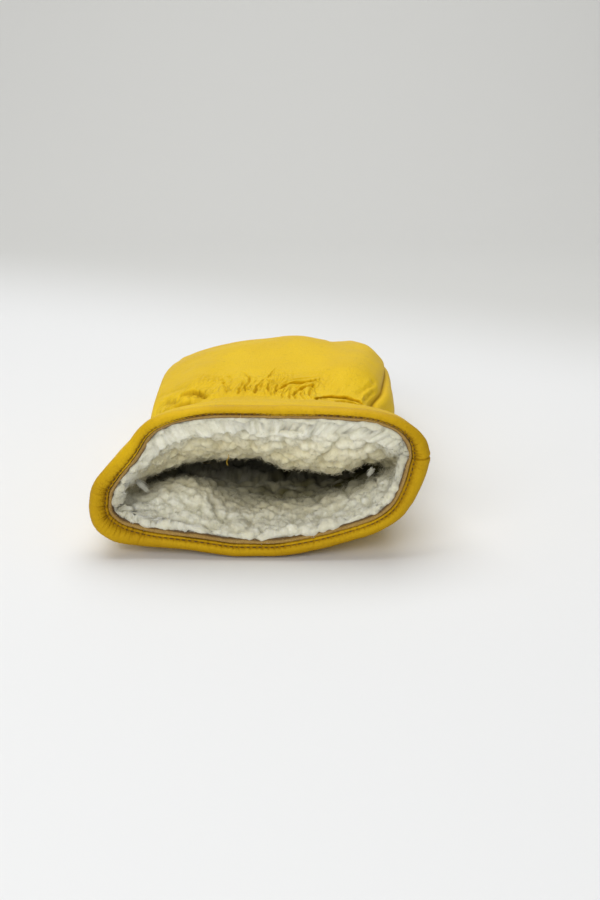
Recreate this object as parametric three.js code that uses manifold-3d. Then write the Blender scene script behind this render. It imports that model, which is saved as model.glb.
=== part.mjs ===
// A leather mitten for the right hand, lying on its palm with its back up.
// Leather back and palm panels meet at a seam along the little-finger side and round the fingertips.
// The mouth has a rolled hem, the back is gathered by elastic at the wrist, the thumb is tucked
// beside the palm, and a thick pile lining fills the inside down to the hollow for the hand.
// Millimetres. +X is the little-finger side, +Y runs from the mouth to the fingertips, +Z is up.
import * as THREE from 'three';
import { mergeVertices } from 'three/addons/utils/BufferGeometryUtils.js';
import Module from 'manifold-3d';

// Driving dimensions
const LENGTH = 268; // mouth to fingertips
const CUFF_WIDTH = 146; // across the open mouth
const CUFF_HEIGHT = 68; // surface to the top of the mouth
const WRIST_AT = 70; // mouth to the line of elastic
const WRIST_WIDTH = 118;
const WRIST_HEIGHT = 52;
const HAND_WIDTH = 122;
const HAND_HEIGHT = 58;
const TIP_LENGTH = 76; // stretch over which the fingertips round off
const TIP_RISE = 19; // height of the seam at the fingertips
const TIP_ASIDE = 5; // how far the fingertips lie to the little-finger side
const LEATHER = 1.6;
const SEAM_GAP = 0.4; // between the back and palm panels
const PANEL_GAP = 0.4; // between the hem and the panels behind it
const LINING_GAP = 1.2; // between the leather and the lining
const HEM_ROLL = 6.6; // thickness of the rolled hem
const HEM_DEPTH = 12; // how far the hem runs back from the mouth
const HEM_BOW = 5; // how far the middle of the mouth's lower edge stands forward
const TURN_IN = 2.8; // raw edge that shows inside the stitches
const TURN_IN_SET_BACK = 1.6;
const TURN_IN_GAP = 0.6;
const PILE = 9; // thickness of the lining
const PLEAT_HEIGHT = 2.4;
const PLEAT_REACH = 34; // how far a pleat runs from the elastic towards the fingers
const POUCH_HEIGHT = 5.5; // how far the leather overhangs the elastic beside the pleats
const THUMB_WIDTH = 31;
const THUMB_HEIGHT = 23;
const THUMB_LENGTH = 92; // along the surface, from its crotch to its tip
const THUMB_CROTCH = 96; // mouth to the thumb's root
const THUMB_GAP = 0.5; // between the thumb's root and the panels

// Sections of the outer leather, from the mouth to the fingertips. left and right are shares of
// width, crown, low, fold and seam shares of height: fold and seam are the heights of the two
// sides, and the last four columns say how boxy each quarter of the section is.
const PALM_LENGTH = LENGTH - WRIST_AT - TIP_LENGTH;
const SECTIONS = [
  { at: 0, width: CUFF_WIDTH, height: CUFF_HEIGHT, left: 0.5, right: 0.5, middle: 0, crown: 1,
    low: 0, fold: 0.31, seam: 0.655, joined: 1, backLeft: 2.3, backRight: 2.4, palmRight: 2, palmLeft: 2.2 },
  { at: 0.5 * WRIST_AT, width: CUFF_WIDTH, height: CUFF_HEIGHT, left: 0.445, right: 0.455, middle: 0.01,
    crown: 0.88, low: 0, fold: 0.34, seam: 0.59, joined: 0.94, backLeft: 2.2, backRight: 2.5, palmRight: 2.2,
    palmLeft: 2.2 },
  { at: WRIST_AT, width: WRIST_WIDTH, height: WRIST_HEIGHT, left: 0.475, right: 0.505, middle: 0.02,
    crown: 1, low: 0.02, fold: 0.5, seam: 0.62, joined: 0.87, backLeft: 2.2, backRight: 2.8, palmRight: 2.3,
    palmLeft: 2 },
  { at: WRIST_AT + 0.2 * PALM_LENGTH, width: HAND_WIDTH, height: HAND_HEIGHT, left: 0.46, right: 0.52,
    middle: 0.04, crown: 0.94, low: 0, fold: 0.62, seam: 0.55, joined: 0.875, backLeft: 1.75, backRight: 3.2,
    palmRight: 2.8, palmLeft: 1.5 },
  { at: WRIST_AT + 0.6 * PALM_LENGTH, width: HAND_WIDTH, height: HAND_HEIGHT, left: 0.455, right: 0.53,
    middle: 0.06, crown: 1, low: 0, fold: 0.66, seam: 0.5, joined: 0.885, backLeft: 1.65, backRight: 3.4,
    palmRight: 3, palmLeft: 1.18 },
  { at: WRIST_AT + PALM_LENGTH, width: HAND_WIDTH, height: HAND_HEIGHT, left: 0.425, right: 0.505,
    middle: 0.06, crown: 0.84, low: 0, fold: 0.58, seam: 0.46, joined: 0.9, backLeft: 1.7, backRight: 3,
    palmRight: 2.8, palmLeft: 1.25 },
  { at: LENGTH, width: HAND_WIDTH, height: HAND_HEIGHT, left: 0.4, right: 0.45, middle: 0.05, crown: 0.62,
    low: 0, fold: 0.36, seam: 0.36, joined: 1, backLeft: 2.1, backRight: 2.4, palmRight: 2.4, palmLeft: 2 },
];

// The mouth's own outline, from its left tip over the top to its right tip and back underneath:
// x as a share of the half width, z as a share of the height.
const MOUTH_TOP = [
  { x: -1.015, z: 0.31 }, { x: -0.99, z: 0.46 }, { x: -0.91, z: 0.59 }, { x: -0.795, z: 0.73 },
  { x: -0.71, z: 0.85 }, { x: -0.6, z: 0.93 }, { x: -0.34, z: 0.995 }, { x: 0, z: 1 }, { x: 0.48, z: 0.988 },
  { x: 0.68, z: 0.965 }, { x: 0.85, z: 0.9 }, { x: 0.965, z: 0.78 }, { x: 1, z: 0.655 },
];
const MOUTH_UNDER = [
  { x: 1, z: 0.655 }, { x: 0.945, z: 0.44 }, { x: 0.86, z: 0.28 }, { x: 0.73, z: 0.175 }, { x: 0.5, z: 0.09 },
  { x: 0.27, z: 0.03 }, { x: 0.08, z: 0 }, { x: -0.14, z: 0 }, { x: -0.4, z: 0.035 }, { x: -0.7, z: 0.07 },
  { x: -0.87, z: 0.12 }, { x: -0.98, z: 0.21 }, { x: -1.015, z: 0.31 },
];
const MOUTH_HELD = 0.65 * WRIST_AT; // the mouth's outline fades into the sections over this stretch
const PRESS = 0.12; // share by which the palm would reach below the surface it is flattened on
const TIP_POWER = 2.3;

// Pleats of the wrist elastic from the thumb side to the little-finger side: height and reach are
// shares of PLEAT_HEIGHT and PLEAT_REACH.
const PLEATS = [
  { height: 0.6, reach: 0.7 }, { height: 0.9, reach: 0.9 }, { height: 0.8, reach: 0.75 },
  { height: 1, reach: 1 }, { height: 0.8, reach: 0.85 }, { height: 0.9, reach: 1.05 },
  { height: 0.8, reach: 0.9 }, { height: 1, reach: 1.1 }, { height: 0.8, reach: 0.9 },
];
const FIRST_PLEAT = 7; // counted in pleat widths from the panel's left edge
const BACK_COLUMNS = 44; // a pleat takes two columns
const PLEAT_PITCH = 2 / BACK_COLUMNS;

// Swellings of the back, outwards from its section. across is a share of the panel's width, along
// a share of the way from the elastic to the fingertips' round, and rise a share of POUCH_HEIGHT.
// front and back are the lengths over which it rises and falls away, as shares of WRIST_AT.
const SWELLINGS = [
  { across: 0.82, along: 0.06, wide: 0.16, front: 0.09, back: 0.8, rise: 1 }, // little-finger pouch
  { across: 0.22, along: 0.1, wide: 0.11, front: 0.1, back: 0.7, rise: 0.7 }, // thumb-side pouch
  { across: 0.6, along: 0.75, wide: 0.16, front: 0.8, back: 0.9, rise: 0.2 }, // knuckles
  { across: 0.9, along: 0.7, wide: 0.07, front: 0.7, back: 0.6, rise: 0.25 }, // little finger
];

// How the hollow for the hand narrows under the elastic: drop lowers its roof, as a share of the
// height of the leather there, and lift raises its floor.
const HOLLOW = [
  { at: 0, drop: 0.02, lift: 0.02 }, { at: 0.35 * WRIST_AT, drop: 0.15, lift: 0 },
  { at: 0.75 * WRIST_AT, drop: 0.26, lift: 0 }, { at: WRIST_AT, drop: 0.27, lift: 0 },
  { at: 1.5 * WRIST_AT, drop: 0.12, lift: 0 }, { at: WRIST_AT + 0.6 * PALM_LENGTH, drop: 0.02, lift: 0 },
  { at: LENGTH, drop: 0, lift: 0 },
];

// The thumb's centre line from inside the hand to its tip: x and z as shares of its own width and
// height, from the hand's left side and from the surface; y as a share of THUMB_LENGTH.
const THUMB_PATH = [
  { x: 0.95, y: -0.1, z: 1, size: 0.9 }, { x: 0.66, y: 0.08, z: 0.75, size: 1.16 },
  { x: 0.42, y: 0.28, z: 0.53, size: 1.12 }, { x: 0.28, y: 0.5, z: 0.49, size: 1.04 },
  { x: 0.24, y: 0.75, z: 0.47, size: 0.97 }, { x: 0.28, y: 1, z: 0.44, size: 0.8 },
];

const MOUTH_RINGS = 52; // columns round the mouth
const PALM_COLUMNS = 18;
const LINING_COLUMNS = 28;
const THUMB_SIDES = 14;
const FINE = 40; // steps along a quarter of a section while it is measured

const smooth = (a, b, x) => {
  const t = Math.min(1, Math.max(0, (x - a) / (b - a)));
  return t * t * (3 - 2 * t);
};
const mix = (a, b, t) => a + (b - a) * t;

// A smooth curve through a column of a table that never overshoots its rows.
function curve(rows, value) {
  const n = rows.length;
  const x = rows.map((r) => r.at);
  const y = rows.map(value);
  const rise = x.slice(1).map((xi, i) => (y[i + 1] - y[i]) / (xi - x[i]));
  const slope = y.map((_, i) => {
    if (i === 0 || i === n - 1) return 0;
    const [a, b] = [rise[i - 1], rise[i]];
    return a * b <= 0 ? 0 : (2 * a * b) / (a + b);
  });
  return (at) => {
    const t = Math.min(x[n - 1], Math.max(x[0], at));
    let i = x.findIndex((xi, k) => k > 0 && t <= xi) - 1;
    if (i < 0) i = 0;
    const h = x[i + 1] - x[i];
    const s = (t - x[i]) / h;
    return (
      y[i] * (1 + 2 * s) * (1 - s) ** 2 + y[i + 1] * s * s * (3 - 2 * s) +
      h * (slope[i] * s * (1 - s) ** 2 - slope[i + 1] * s * s * (1 - s))
    );
  };
}

const column = (name) => curve(SECTIONS, (r) => r[name]);
const across = (name) => curve(SECTIONS, (r) => r[name] * r.width);
const upright = (name) => curve(SECTIONS, (r) => r[name] * r.height);
const OUTER = {
  left: across('left'), right: across('right'), middle: across('middle'),
  crown: upright('crown'), low: upright('low'), fold: upright('fold'), seam: upright('seam'),
  joined: column('joined'), backLeft: column('backLeft'), backRight: column('backRight'),
  palmRight: column('palmRight'), palmLeft: column('palmLeft'),
};
const hollowDrop = curve(HOLLOW, (r) => r.drop);
const hollowLift = curve(HOLLOW, (r) => r.lift);

// The sizes of the outer section at y, and of the hollow's, which lies within it.
function outerSizes(y) {
  return Object.fromEntries(Object.entries(OUTER).map(([name, f]) => [name, f(y)]));
}
function hollowSizes(y) {
  const s = outerSizes(y);
  const wall = PILE + LEATHER;
  const inHem = 1 - smooth(0, 2 * HEM_DEPTH, y);
  const side = wall + inHem * (HEM_ROLL + TURN_IN - PILE + 1);
  const height = s.crown - s.low;
  const low = s.low + wall + hollowLift(y) * height;
  const crown = s.crown - side - hollowDrop(y) * height;
  const level = (z) => mix(low, crown, (z - s.low) / height);
  return { ...s, left: s.left - side, right: s.right - side, low, crown, fold: level(s.fold), seam: level(s.seam) };
}

// Points along a quarter of a section: a superellipse from one axis to the other.
function quarter(cx, cz, a, b, power, from, to) {
  return Array.from({ length: FINE + 1 }, (_, i) => {
    const angle = mix(from, to, i / FINE);
    const [c, s] = [Math.cos(angle), Math.sin(angle)];
    return [
      cx + a * Math.sign(c) * Math.abs(c) ** (2 / power),
      cz + b * Math.sign(s) * Math.abs(s) ** (2 / power),
    ];
  });
}

function measured(points) {
  const length = [0];
  for (let i = 1; i < points.length; i++) {
    length.push(length[i - 1] + Math.hypot(points[i][0] - points[i - 1][0], points[i][1] - points[i - 1][1]));
  }
  return { points, length };
}

// The point a share of the way along a measured line.
function pointAt({ points, length }, share) {
  const goal = Math.min(1, Math.max(0, share)) * length[length.length - 1];
  let i = length.findIndex((d) => d >= goal);
  if (i < 1) i = 1;
  const t = (goal - length[i - 1]) / Math.max(1e-9, length[i] - length[i - 1]);
  return [mix(points[i - 1][0], points[i][0], t), mix(points[i - 1][1], points[i][1], t)];
}

function mouthLine(rows) {
  const line = new THREE.CatmullRomCurve3(rows.map((r) => new THREE.Vector3(r.x, 0, r.z)), false, 'centripetal');
  return measured(line.getPoints(4 * FINE).map((p) => [p.x, Math.max(0, p.z)]));
}
const MOUTH = { top: mouthLine(MOUTH_TOP), under: mouthLine(MOUTH_UNDER) };

const kept = new Map();
function sectionLines(y, sizes) {
  const key = sizes.name + y;
  if (!kept.has(key)) {
    const s = sizes(y);
    const turn = Math.PI / 2;
    const press = 1 + PRESS;
    const flat = (points) => points.map(([x, z]) => [x, Math.max(s.low, z)]);
    const top = [
      ...quarter(s.middle, s.fold, s.middle + s.left, s.crown - s.fold, s.backLeft, 2 * turn, turn),
      ...quarter(s.middle, s.seam, s.right - s.middle, s.crown - s.seam, s.backRight, turn, 0).slice(1),
    ];
    const under = [
      ...quarter(s.middle, s.seam, s.right - s.middle, press * (s.seam - s.low), s.palmRight, 0, -turn),
      ...quarter(s.middle, s.fold, s.middle + s.left, press * (s.fold - s.low), s.palmLeft, -turn, -2 * turn)
        .slice(1),
    ];
    kept.set(key, { sizes: s, top: measured(flat(top)), under: measured(flat(under)) });
  }
  return kept.get(key);
}

const TIP_START = LENGTH - TIP_LENGTH;
const tipRound = (y, end) => {
  const q = Math.min(1, Math.max(0, (y - TIP_START) / (end - TIP_START)));
  return (1 - q ** TIP_POWER) ** (1 / TIP_POWER);
};

// A point of a skin at the share w round the section (0 to 1 over the back from the thumb side to
// the little-finger side, 1 to 2 under the palm) and at y.
function skin(w, y, sizes = outerSizes, end = LENGTH) {
  const round = ((w % 2) + 2) % 2;
  const lines = sectionLines(Math.max(0, y), sizes);
  const half = round <= 1 ? 'top' : 'under';
  const share = round <= 1 ? round : round - 1;
  const [sx, sz] = pointAt(lines[half], share);
  const [mx, mz] = pointAt(MOUTH[half], share);
  const s = lines.sizes;
  const hold = 1 - smooth(0, MOUTH_HELD, y);
  const x = mix(sx, mx * (mx < 0 ? s.left : s.right), hold);
  const z = mix(sz, mix(s.low, s.crown, mz), hold);
  const tip = tipRound(y, end);
  const bow = half === 'under' ? HEM_BOW * Math.sin(Math.PI * share) * hold : 0;
  return new THREE.Vector3(mix(TIP_ASIDE, x, tip), y - bow, mix(TIP_RISE, z, tip));
}

// The outward direction of a skin, and in its own section plane if flat is true.
function outward(w, y, flat = false, sizes = outerSizes, end = LENGTH) {
  if (y >= end - 1e-6) return new THREE.Vector3(0, 1, 0);
  const [dw, dy] = [0.01, 0.6];
  const round = skin(w + dw, y, sizes, end).sub(skin(w - dw, y, sizes, end));
  if (flat) return new THREE.Vector3(-round.z, 0, round.x).normalize();
  const ahead = skin(w, Math.min(end, y + dy), sizes, end);
  const along = ahead.sub(skin(w, Math.max(0, y - dy), sizes, end));
  return along.cross(round).normalize().negate();
}

// How far the back stands out from its section, at a share of the way across it.
function relief(share, y) {
  let height = 0;
  PLEATS.forEach((pleat, i) => {
    const from = Math.abs(share / PLEAT_PITCH - (FIRST_PLEAT + i));
    if (from >= 1) return;
    const reach = PLEAT_REACH * pleat.reach;
    const rise = smooth(WRIST_AT - 4, WRIST_AT + 3, y) * (1 - smooth(WRIST_AT + 0.35 * reach, WRIST_AT + reach, y));
    height += PLEAT_HEIGHT * pleat.height * rise * (0.5 + 0.5 * Math.cos(2 * Math.PI * from)) * (from < 0.5);
  });
  SWELLINGS.forEach((swell) => {
    const at = WRIST_AT + swell.along * PALM_LENGTH;
    const rise = smooth(at - swell.front * WRIST_AT, at, y) * (1 - smooth(at, at + swell.back * WRIST_AT, y));
    const side = Math.abs(share - swell.across) / swell.wide;
    height += POUCH_HEIGHT * swell.rise * rise * (side < 1 ? (1 - side * side) ** 2 : 0);
  });
  return height;
}

// A closed solid from its points and faces: the points that coincide become one.
function closedSolid(points, faces) {
  const loose = new THREE.BufferGeometry();
  loose.setAttribute('position', new THREE.Float32BufferAttribute(points.flatMap((p) => [p.x, p.y, p.z]), 3));
  loose.setIndex(faces.flat());
  const merged = mergeVertices(loose, 1e-4);
  const index = merged.index.array;
  const whole = [];
  for (let i = 0; i < index.length; i += 3) {
    const [a, b, c] = [index[i], index[i + 1], index[i + 2]];
    if (a !== b && b !== c && c !== a) whole.push(a, b, c);
  }
  merged.setIndex(whole);
  return merged;
}

// A wall between two grids of the same size. The rows are joined at both ends, and the columns at
// both sides, unless the grid closes on itself there.
function wallBetween(outer, inner, wrapsColumns = false, wrapsRows = false) {
  const rows = outer.length;
  const columns = outer[0].length;
  const points = [...outer.flat(), ...inner.flat()];
  const o = (r, c) => (r % rows) * columns + (c % columns);
  const n = (r, c) => rows * columns + o(r, c);
  const faces = [];
  const quad = (a, b, c, d) => faces.push([a, b, c], [a, c, d]);
  const lastRow = wrapsRows ? rows : rows - 1;
  const lastColumn = wrapsColumns ? columns : columns - 1;
  for (let r = 0; r < lastRow; r++) {
    for (let c = 0; c < lastColumn; c++) {
      quad(o(r, c), o(r, c + 1), o(r + 1, c + 1), o(r + 1, c));
      quad(n(r, c), n(r + 1, c), n(r + 1, c + 1), n(r, c + 1));
    }
    if (!wrapsColumns) {
      quad(o(r, 0), o(r + 1, 0), n(r + 1, 0), n(r, 0));
      quad(o(r, columns - 1), n(r, columns - 1), n(r + 1, columns - 1), o(r + 1, columns - 1));
    }
  }
  for (let c = 0; !wrapsRows && c < lastColumn; c++) {
    quad(o(0, c), n(0, c), n(0, c + 1), o(0, c + 1));
    quad(o(rows - 1, c), o(rows - 1, c + 1), n(rows - 1, c + 1), n(rows - 1, c));
  }
  return closedSolid(points, faces);
}

// A ring or tube whose grid closes both ways, or ends in a point or a flat cap.
function closedTube(grid, wrapsRows) {
  const rows = grid.length;
  const columns = grid[0].length;
  const points = grid.flat();
  const at = (r, c) => (r % rows) * columns + (c % columns);
  const faces = [];
  for (let r = 0; r < (wrapsRows ? rows : rows - 1); r++) {
    for (let c = 0; c < columns; c++) {
      faces.push([at(r, c), at(r + 1, c), at(r + 1, c + 1)], [at(r, c), at(r + 1, c + 1), at(r, c + 1)]);
    }
  }
  for (let c = 1; !wrapsRows && c < columns - 1; c++) {
    faces.push([at(0, 0), at(0, c), at(0, c + 1)], [at(rows - 1, 0), at(rows - 1, c + 1), at(rows - 1, c)]);
  }
  return closedSolid(points, faces);
}

const steps = (count, from = 0, to = 1) => Array.from({ length: count + 1 }, (_, i) => mix(from, to, i / count));

// Rows along the mitten from a start to the fingertips: close together at the elastic, and by
// equal angles round the tip.
function rowsFrom(start, end, counts) {
  const wristEnd = WRIST_AT + 0.2 * PALM_LENGTH;
  const straight = [
    ...steps(counts.cuff, start, 0.8 * WRIST_AT),
    ...steps(counts.wrist, 0.8 * WRIST_AT, wristEnd).slice(1),
    ...steps(counts.palm, wristEnd, TIP_START).slice(1),
  ];
  const tip = steps(counts.tip, 0, Math.PI / 2).slice(1);
  return [...straight, ...tip.map((a) => TIP_START + (end - TIP_START) * Math.sin(a))];
}

const LEATHER_ROWS = rowsFrom(HEM_DEPTH + PANEL_GAP, LENGTH, { cuff: 3, wrist: 12, palm: 6, tip: 7 });
const LINING_ROWS = { cuff: 5, wrist: 4, palm: 3, tip: 4 };

function backPanel() {
  const sheet = (depth) => LEATHER_ROWS.map((y) => steps(BACK_COLUMNS).map((share) => {
    const w = share * OUTER.joined(y);
    const edge = smooth(0, 0.08, share) * (1 - smooth(0.92, 1, share));
    const out = relief(share, y) * edge * tipRound(y, LENGTH) - depth;
    const p = skin(w, y).addScaledVector(outward(w, y, y === LEATHER_ROWS[0]), out);
    p.z += SEAM_GAP;
    return p;
  }));
  return wallBetween(sheet(0), sheet(LEATHER));
}

function palmPanel() {
  const sheet = (depth) => LEATHER_ROWS.map((y) => steps(PALM_COLUMNS, 0, 1).map((share) => {
    const w = mix(OUTER.joined(y), 2, share);
    return skin(w, y).addScaledVector(outward(w, y, y === LEATHER_ROWS[0]), -depth);
  }));
  return wallBetween(sheet(0), sheet(LEATHER));
}

// A ring round the mouth: the corners of its section are given by how far in they lie from the
// outer leather and how far back from the mouth.
function mouthRing(corners) {
  const grid = steps(MOUTH_RINGS - 1, 0, 2 - 2 / MOUTH_RINGS).map((w) => corners.map(({ inset, back }) => {
    const p = skin(w, Math.max(0, back)).addScaledVector(outward(w, 0, true), -inset);
    p.y += Math.min(0, back);
    p.z = Math.max(p.z, Math.max(0, inset));
    return p;
  }));
  return closedTube(grid, true);
}

function cuffHem() {
  return mouthRing([
    { inset: 0, back: HEM_DEPTH },
    { inset: HEM_ROLL, back: HEM_DEPTH },
    { inset: HEM_ROLL, back: TURN_IN_SET_BACK },
    { inset: 0.82 * HEM_ROLL, back: -0.12 * HEM_ROLL },
    { inset: 0.5 * HEM_ROLL, back: -0.3 * HEM_ROLL },
    { inset: 0.2 * HEM_ROLL, back: -0.12 * HEM_ROLL },
    { inset: 0, back: 0.35 * HEM_ROLL },
  ]);
}

function hemTurnIn() {
  const start = HEM_ROLL + TURN_IN_GAP;
  return mouthRing([
    { inset: start, back: TURN_IN_SET_BACK + LEATHER },
    { inset: start + TURN_IN, back: TURN_IN_SET_BACK + 0.5 * TURN_IN + LEATHER },
    { inset: start + TURN_IN, back: TURN_IN_SET_BACK + 0.5 * TURN_IN },
    { inset: start, back: TURN_IN_SET_BACK },
  ]);
}

const HOLLOW_END = LENGTH - LEATHER - LINING_GAP - PILE;
const LINING_START = TURN_IN_SET_BACK + 0.5 * TURN_IN + LEATHER + LINING_GAP;

function liningGrids() {
  const columns = steps(LINING_COLUMNS - 1, 0, 2 - 2 / LINING_COLUMNS);
  const end = LENGTH - LEATHER - LINING_GAP;
  const outer = rowsFrom(LINING_START, LENGTH, LINING_ROWS).map((y) => columns.map((w) => {
    const inHem = 1 - smooth(1.3 * HEM_DEPTH, 2.2 * HEM_DEPTH, y);
    const depth = LEATHER + LINING_GAP + inHem * (HEM_ROLL - LEATHER);
    if (y >= LENGTH - 1e-6) return new THREE.Vector3(TIP_ASIDE, end, TIP_RISE);
    return skin(w, y).addScaledVector(outward(w, y, y === LINING_START), -depth);
  }));
  const inner = rowsFrom(LINING_START, HOLLOW_END, LINING_ROWS).map((y) =>
    columns.map((w) => skin(w, y, hollowSizes, HOLLOW_END)));
  return { outer, inner };
}

// The thumb's rings at a depth inside its outer leather: they start inside the hand and close at
// the tip.
function thumbRings(depth) {
  const at = (name) => THUMB_PATH.map((r) => r[name]);
  const side = -OUTER.left(THUMB_CROTCH + 0.4 * THUMB_LENGTH);
  const path = new THREE.CatmullRomCurve3(THUMB_PATH.map((r) => new THREE.Vector3(
    side + r.x * THUMB_WIDTH, THUMB_CROTCH + r.y * THUMB_LENGTH, r.z * THUMB_HEIGHT)));
  const size = curve(THUMB_PATH.map((r, i) => ({ at: i / (at('x').length - 1), size: r.size })), (r) => r.size);
  const rows = 9;
  const cap = 5;
  const [a, b] = [THUMB_WIDTH / 2 - depth, THUMB_HEIGHT / 2 - depth];
  const ring = (t, share, ahead) => {
    const centre = path.getPoint(t);
    const along = path.getTangent(t);
    const aside = new THREE.Vector3().crossVectors(along, new THREE.Vector3(0, 0, 1)).normalize();
    const up = new THREE.Vector3().crossVectors(aside, along);
    centre.addScaledVector(along, ahead);
    return Array.from({ length: THUMB_SIDES }, (_, i) => {
      const angle = (2 * Math.PI * i) / THUMB_SIDES;
      const p = centre.clone().addScaledVector(aside, a * share * Math.cos(angle));
      p.addScaledVector(up, b * share * Math.sin(angle));
      p.z = Math.max(p.z, depth);
      return p;
    });
  };
  const body = steps(rows).map((t) => ring(t, size(t), 0));
  const end = size(1);
  const tip = steps(cap, 0, Math.PI / 2).slice(1).map((angle) =>
    ring(1, end * Math.max(0, Math.cos(angle)), (0.8 * THUMB_WIDTH * end * 0.5 - depth) * Math.sin(angle)));
  return [...body, ...tip];
}

const wasm = await Module();
wasm.setup();

function asManifold(geometry) {
  const plain = geometry.clone();
  plain.deleteAttribute('normal');
  plain.deleteAttribute('uv');
  const merged = mergeVertices(plain, 1e-4);
  return new wasm.Manifold(new wasm.Mesh({
    numProp: 3,
    vertProperties: new Float32Array(merged.attributes.position.array),
    triVerts: new Uint32Array(merged.index.array),
  }));
}

function asGeometry(solid) {
  const mesh = solid.getMesh();
  const geometry = new THREE.BufferGeometry();
  geometry.setAttribute('position', new THREE.BufferAttribute(new Float32Array(mesh.vertProperties), 3));
  geometry.setIndex(new THREE.BufferAttribute(new Uint32Array(mesh.triVerts), 1));
  return geometry;
}

// The whole hand as one filled solid, a gap larger than its leather, which the thumb is cut by.
function filledHand(gap) {
  const columns = steps(2 * PALM_COLUMNS - 1, 0, 2 - 1 / PALM_COLUMNS);
  const rows = LEATHER_ROWS.map((y) => columns.map((w) => skin(w, y).addScaledVector(outward(w, y), gap)));
  return asManifold(closedTube(rows.map((row) => [...row].reverse()), false));
}

const thumbCavity = asManifold(closedTube(thumbRings(LEATHER), false));
const thumbOuter = asManifold(closedTube(thumbRings(0), false));
const { outer: liningOuter, inner: liningInner } = liningGrids();

const SOLIDS = {
  back_panel: backPanel(),
  palm_panel: asGeometry(asManifold(palmPanel()).subtract(thumbCavity)),
  thumb: asGeometry(thumbOuter.subtract(thumbCavity).subtract(filledHand(THUMB_GAP))),
  cuff_hem: cuffHem(),
  hem_turn_in: hemTurnIn(),
  lining: asGeometry(asManifold(wallBetween(liningOuter, liningInner, true)).subtract(thumbCavity)),
};

const yellowLeather = () => new THREE.MeshStandardMaterial({ color: 0xe3b715, roughness: 0.55, metalness: 0 });
const rawLeather = () => new THREE.MeshStandardMaterial({ color: 0xa98545, roughness: 0.9, metalness: 0 });
const whitePile = () => new THREE.MeshStandardMaterial({ color: 0xe6e4d8, roughness: 1, metalness: 0 });
const MATERIALS = {
  back_panel: yellowLeather(), palm_panel: yellowLeather(), thumb: yellowLeather(), cuff_hem: yellowLeather(),
  hem_turn_in: rawLeather(), lining: whitePile(),
};

const mitten = new THREE.Group();
for (const [name, geometry] of Object.entries(SOLIDS)) {
  geometry.computeVertexNormals();
  const mesh = new THREE.Mesh(geometry, MATERIALS[name]);
  mesh.name = name;
  mitten.add(mesh);
}

// The origin is the middle of the underside of the whole mitten's box.
const box = new THREE.Box3().setFromObject(mitten, true);
const middle = box.getCenter(new THREE.Vector3());
mitten.position.set(-middle.x, -middle.y, -box.min.z);

export default mitten;
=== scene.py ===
# A yellow leather mitten for the right hand with a thick white pile lining, lying on its palm.
# The shapes are worked out in millimetres with y from the mouth and z from the floor, and are moved
# into the shared frame, in metres, when each mesh is made.
import itertools
import math

import bpy
import numpy as np
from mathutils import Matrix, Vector


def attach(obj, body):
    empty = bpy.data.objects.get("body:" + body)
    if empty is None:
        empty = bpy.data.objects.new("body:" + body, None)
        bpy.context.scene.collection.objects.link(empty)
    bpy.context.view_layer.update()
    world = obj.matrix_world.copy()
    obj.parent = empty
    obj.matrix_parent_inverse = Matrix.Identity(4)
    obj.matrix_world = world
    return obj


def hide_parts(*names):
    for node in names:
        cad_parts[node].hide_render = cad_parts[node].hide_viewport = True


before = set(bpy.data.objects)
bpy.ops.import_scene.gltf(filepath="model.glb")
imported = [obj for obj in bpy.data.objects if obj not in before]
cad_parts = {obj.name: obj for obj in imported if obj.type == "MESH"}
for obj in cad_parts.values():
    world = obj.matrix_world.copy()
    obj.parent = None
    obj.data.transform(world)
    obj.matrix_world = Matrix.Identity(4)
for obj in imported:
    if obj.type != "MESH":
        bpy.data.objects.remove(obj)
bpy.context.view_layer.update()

# Sizes in mm, and the tables of the shape.
LENGTH, CUFF_WIDTH, CUFF_HEIGHT = 268.0, 146.0, 68.0
WRIST_AT, WRIST_WIDTH, WRIST_HEIGHT = 70.0, 118.0, 52.0
HAND_WIDTH, HAND_HEIGHT = 122.0, 58.0
TIP_LENGTH, TIP_RISE, TIP_ASIDE, TIP_POWER = 76.0, 19.0, 5.0, 2.3
HEM_BOW, PRESS = 5.0, 0.12
LEATHER, PILE, HEM_ROLL, TURN_IN = 1.6, 9.0, 6.6, 2.8
POUCH_HEIGHT = 5.5
THUMB_WIDTH, THUMB_HEIGHT, THUMB_LENGTH, THUMB_CROTCH = 31.0, 23.0, 92.0, 96.0
QUARTER_POINTS = 61
PALM_LENGTH = LENGTH - WRIST_AT - TIP_LENGTH
TIP_START = LENGTH - TIP_LENGTH
MOUTH_HELD = 0.65 * WRIST_AT
SHIFT = np.array([0.537, -130.510, 0.0])

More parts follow.
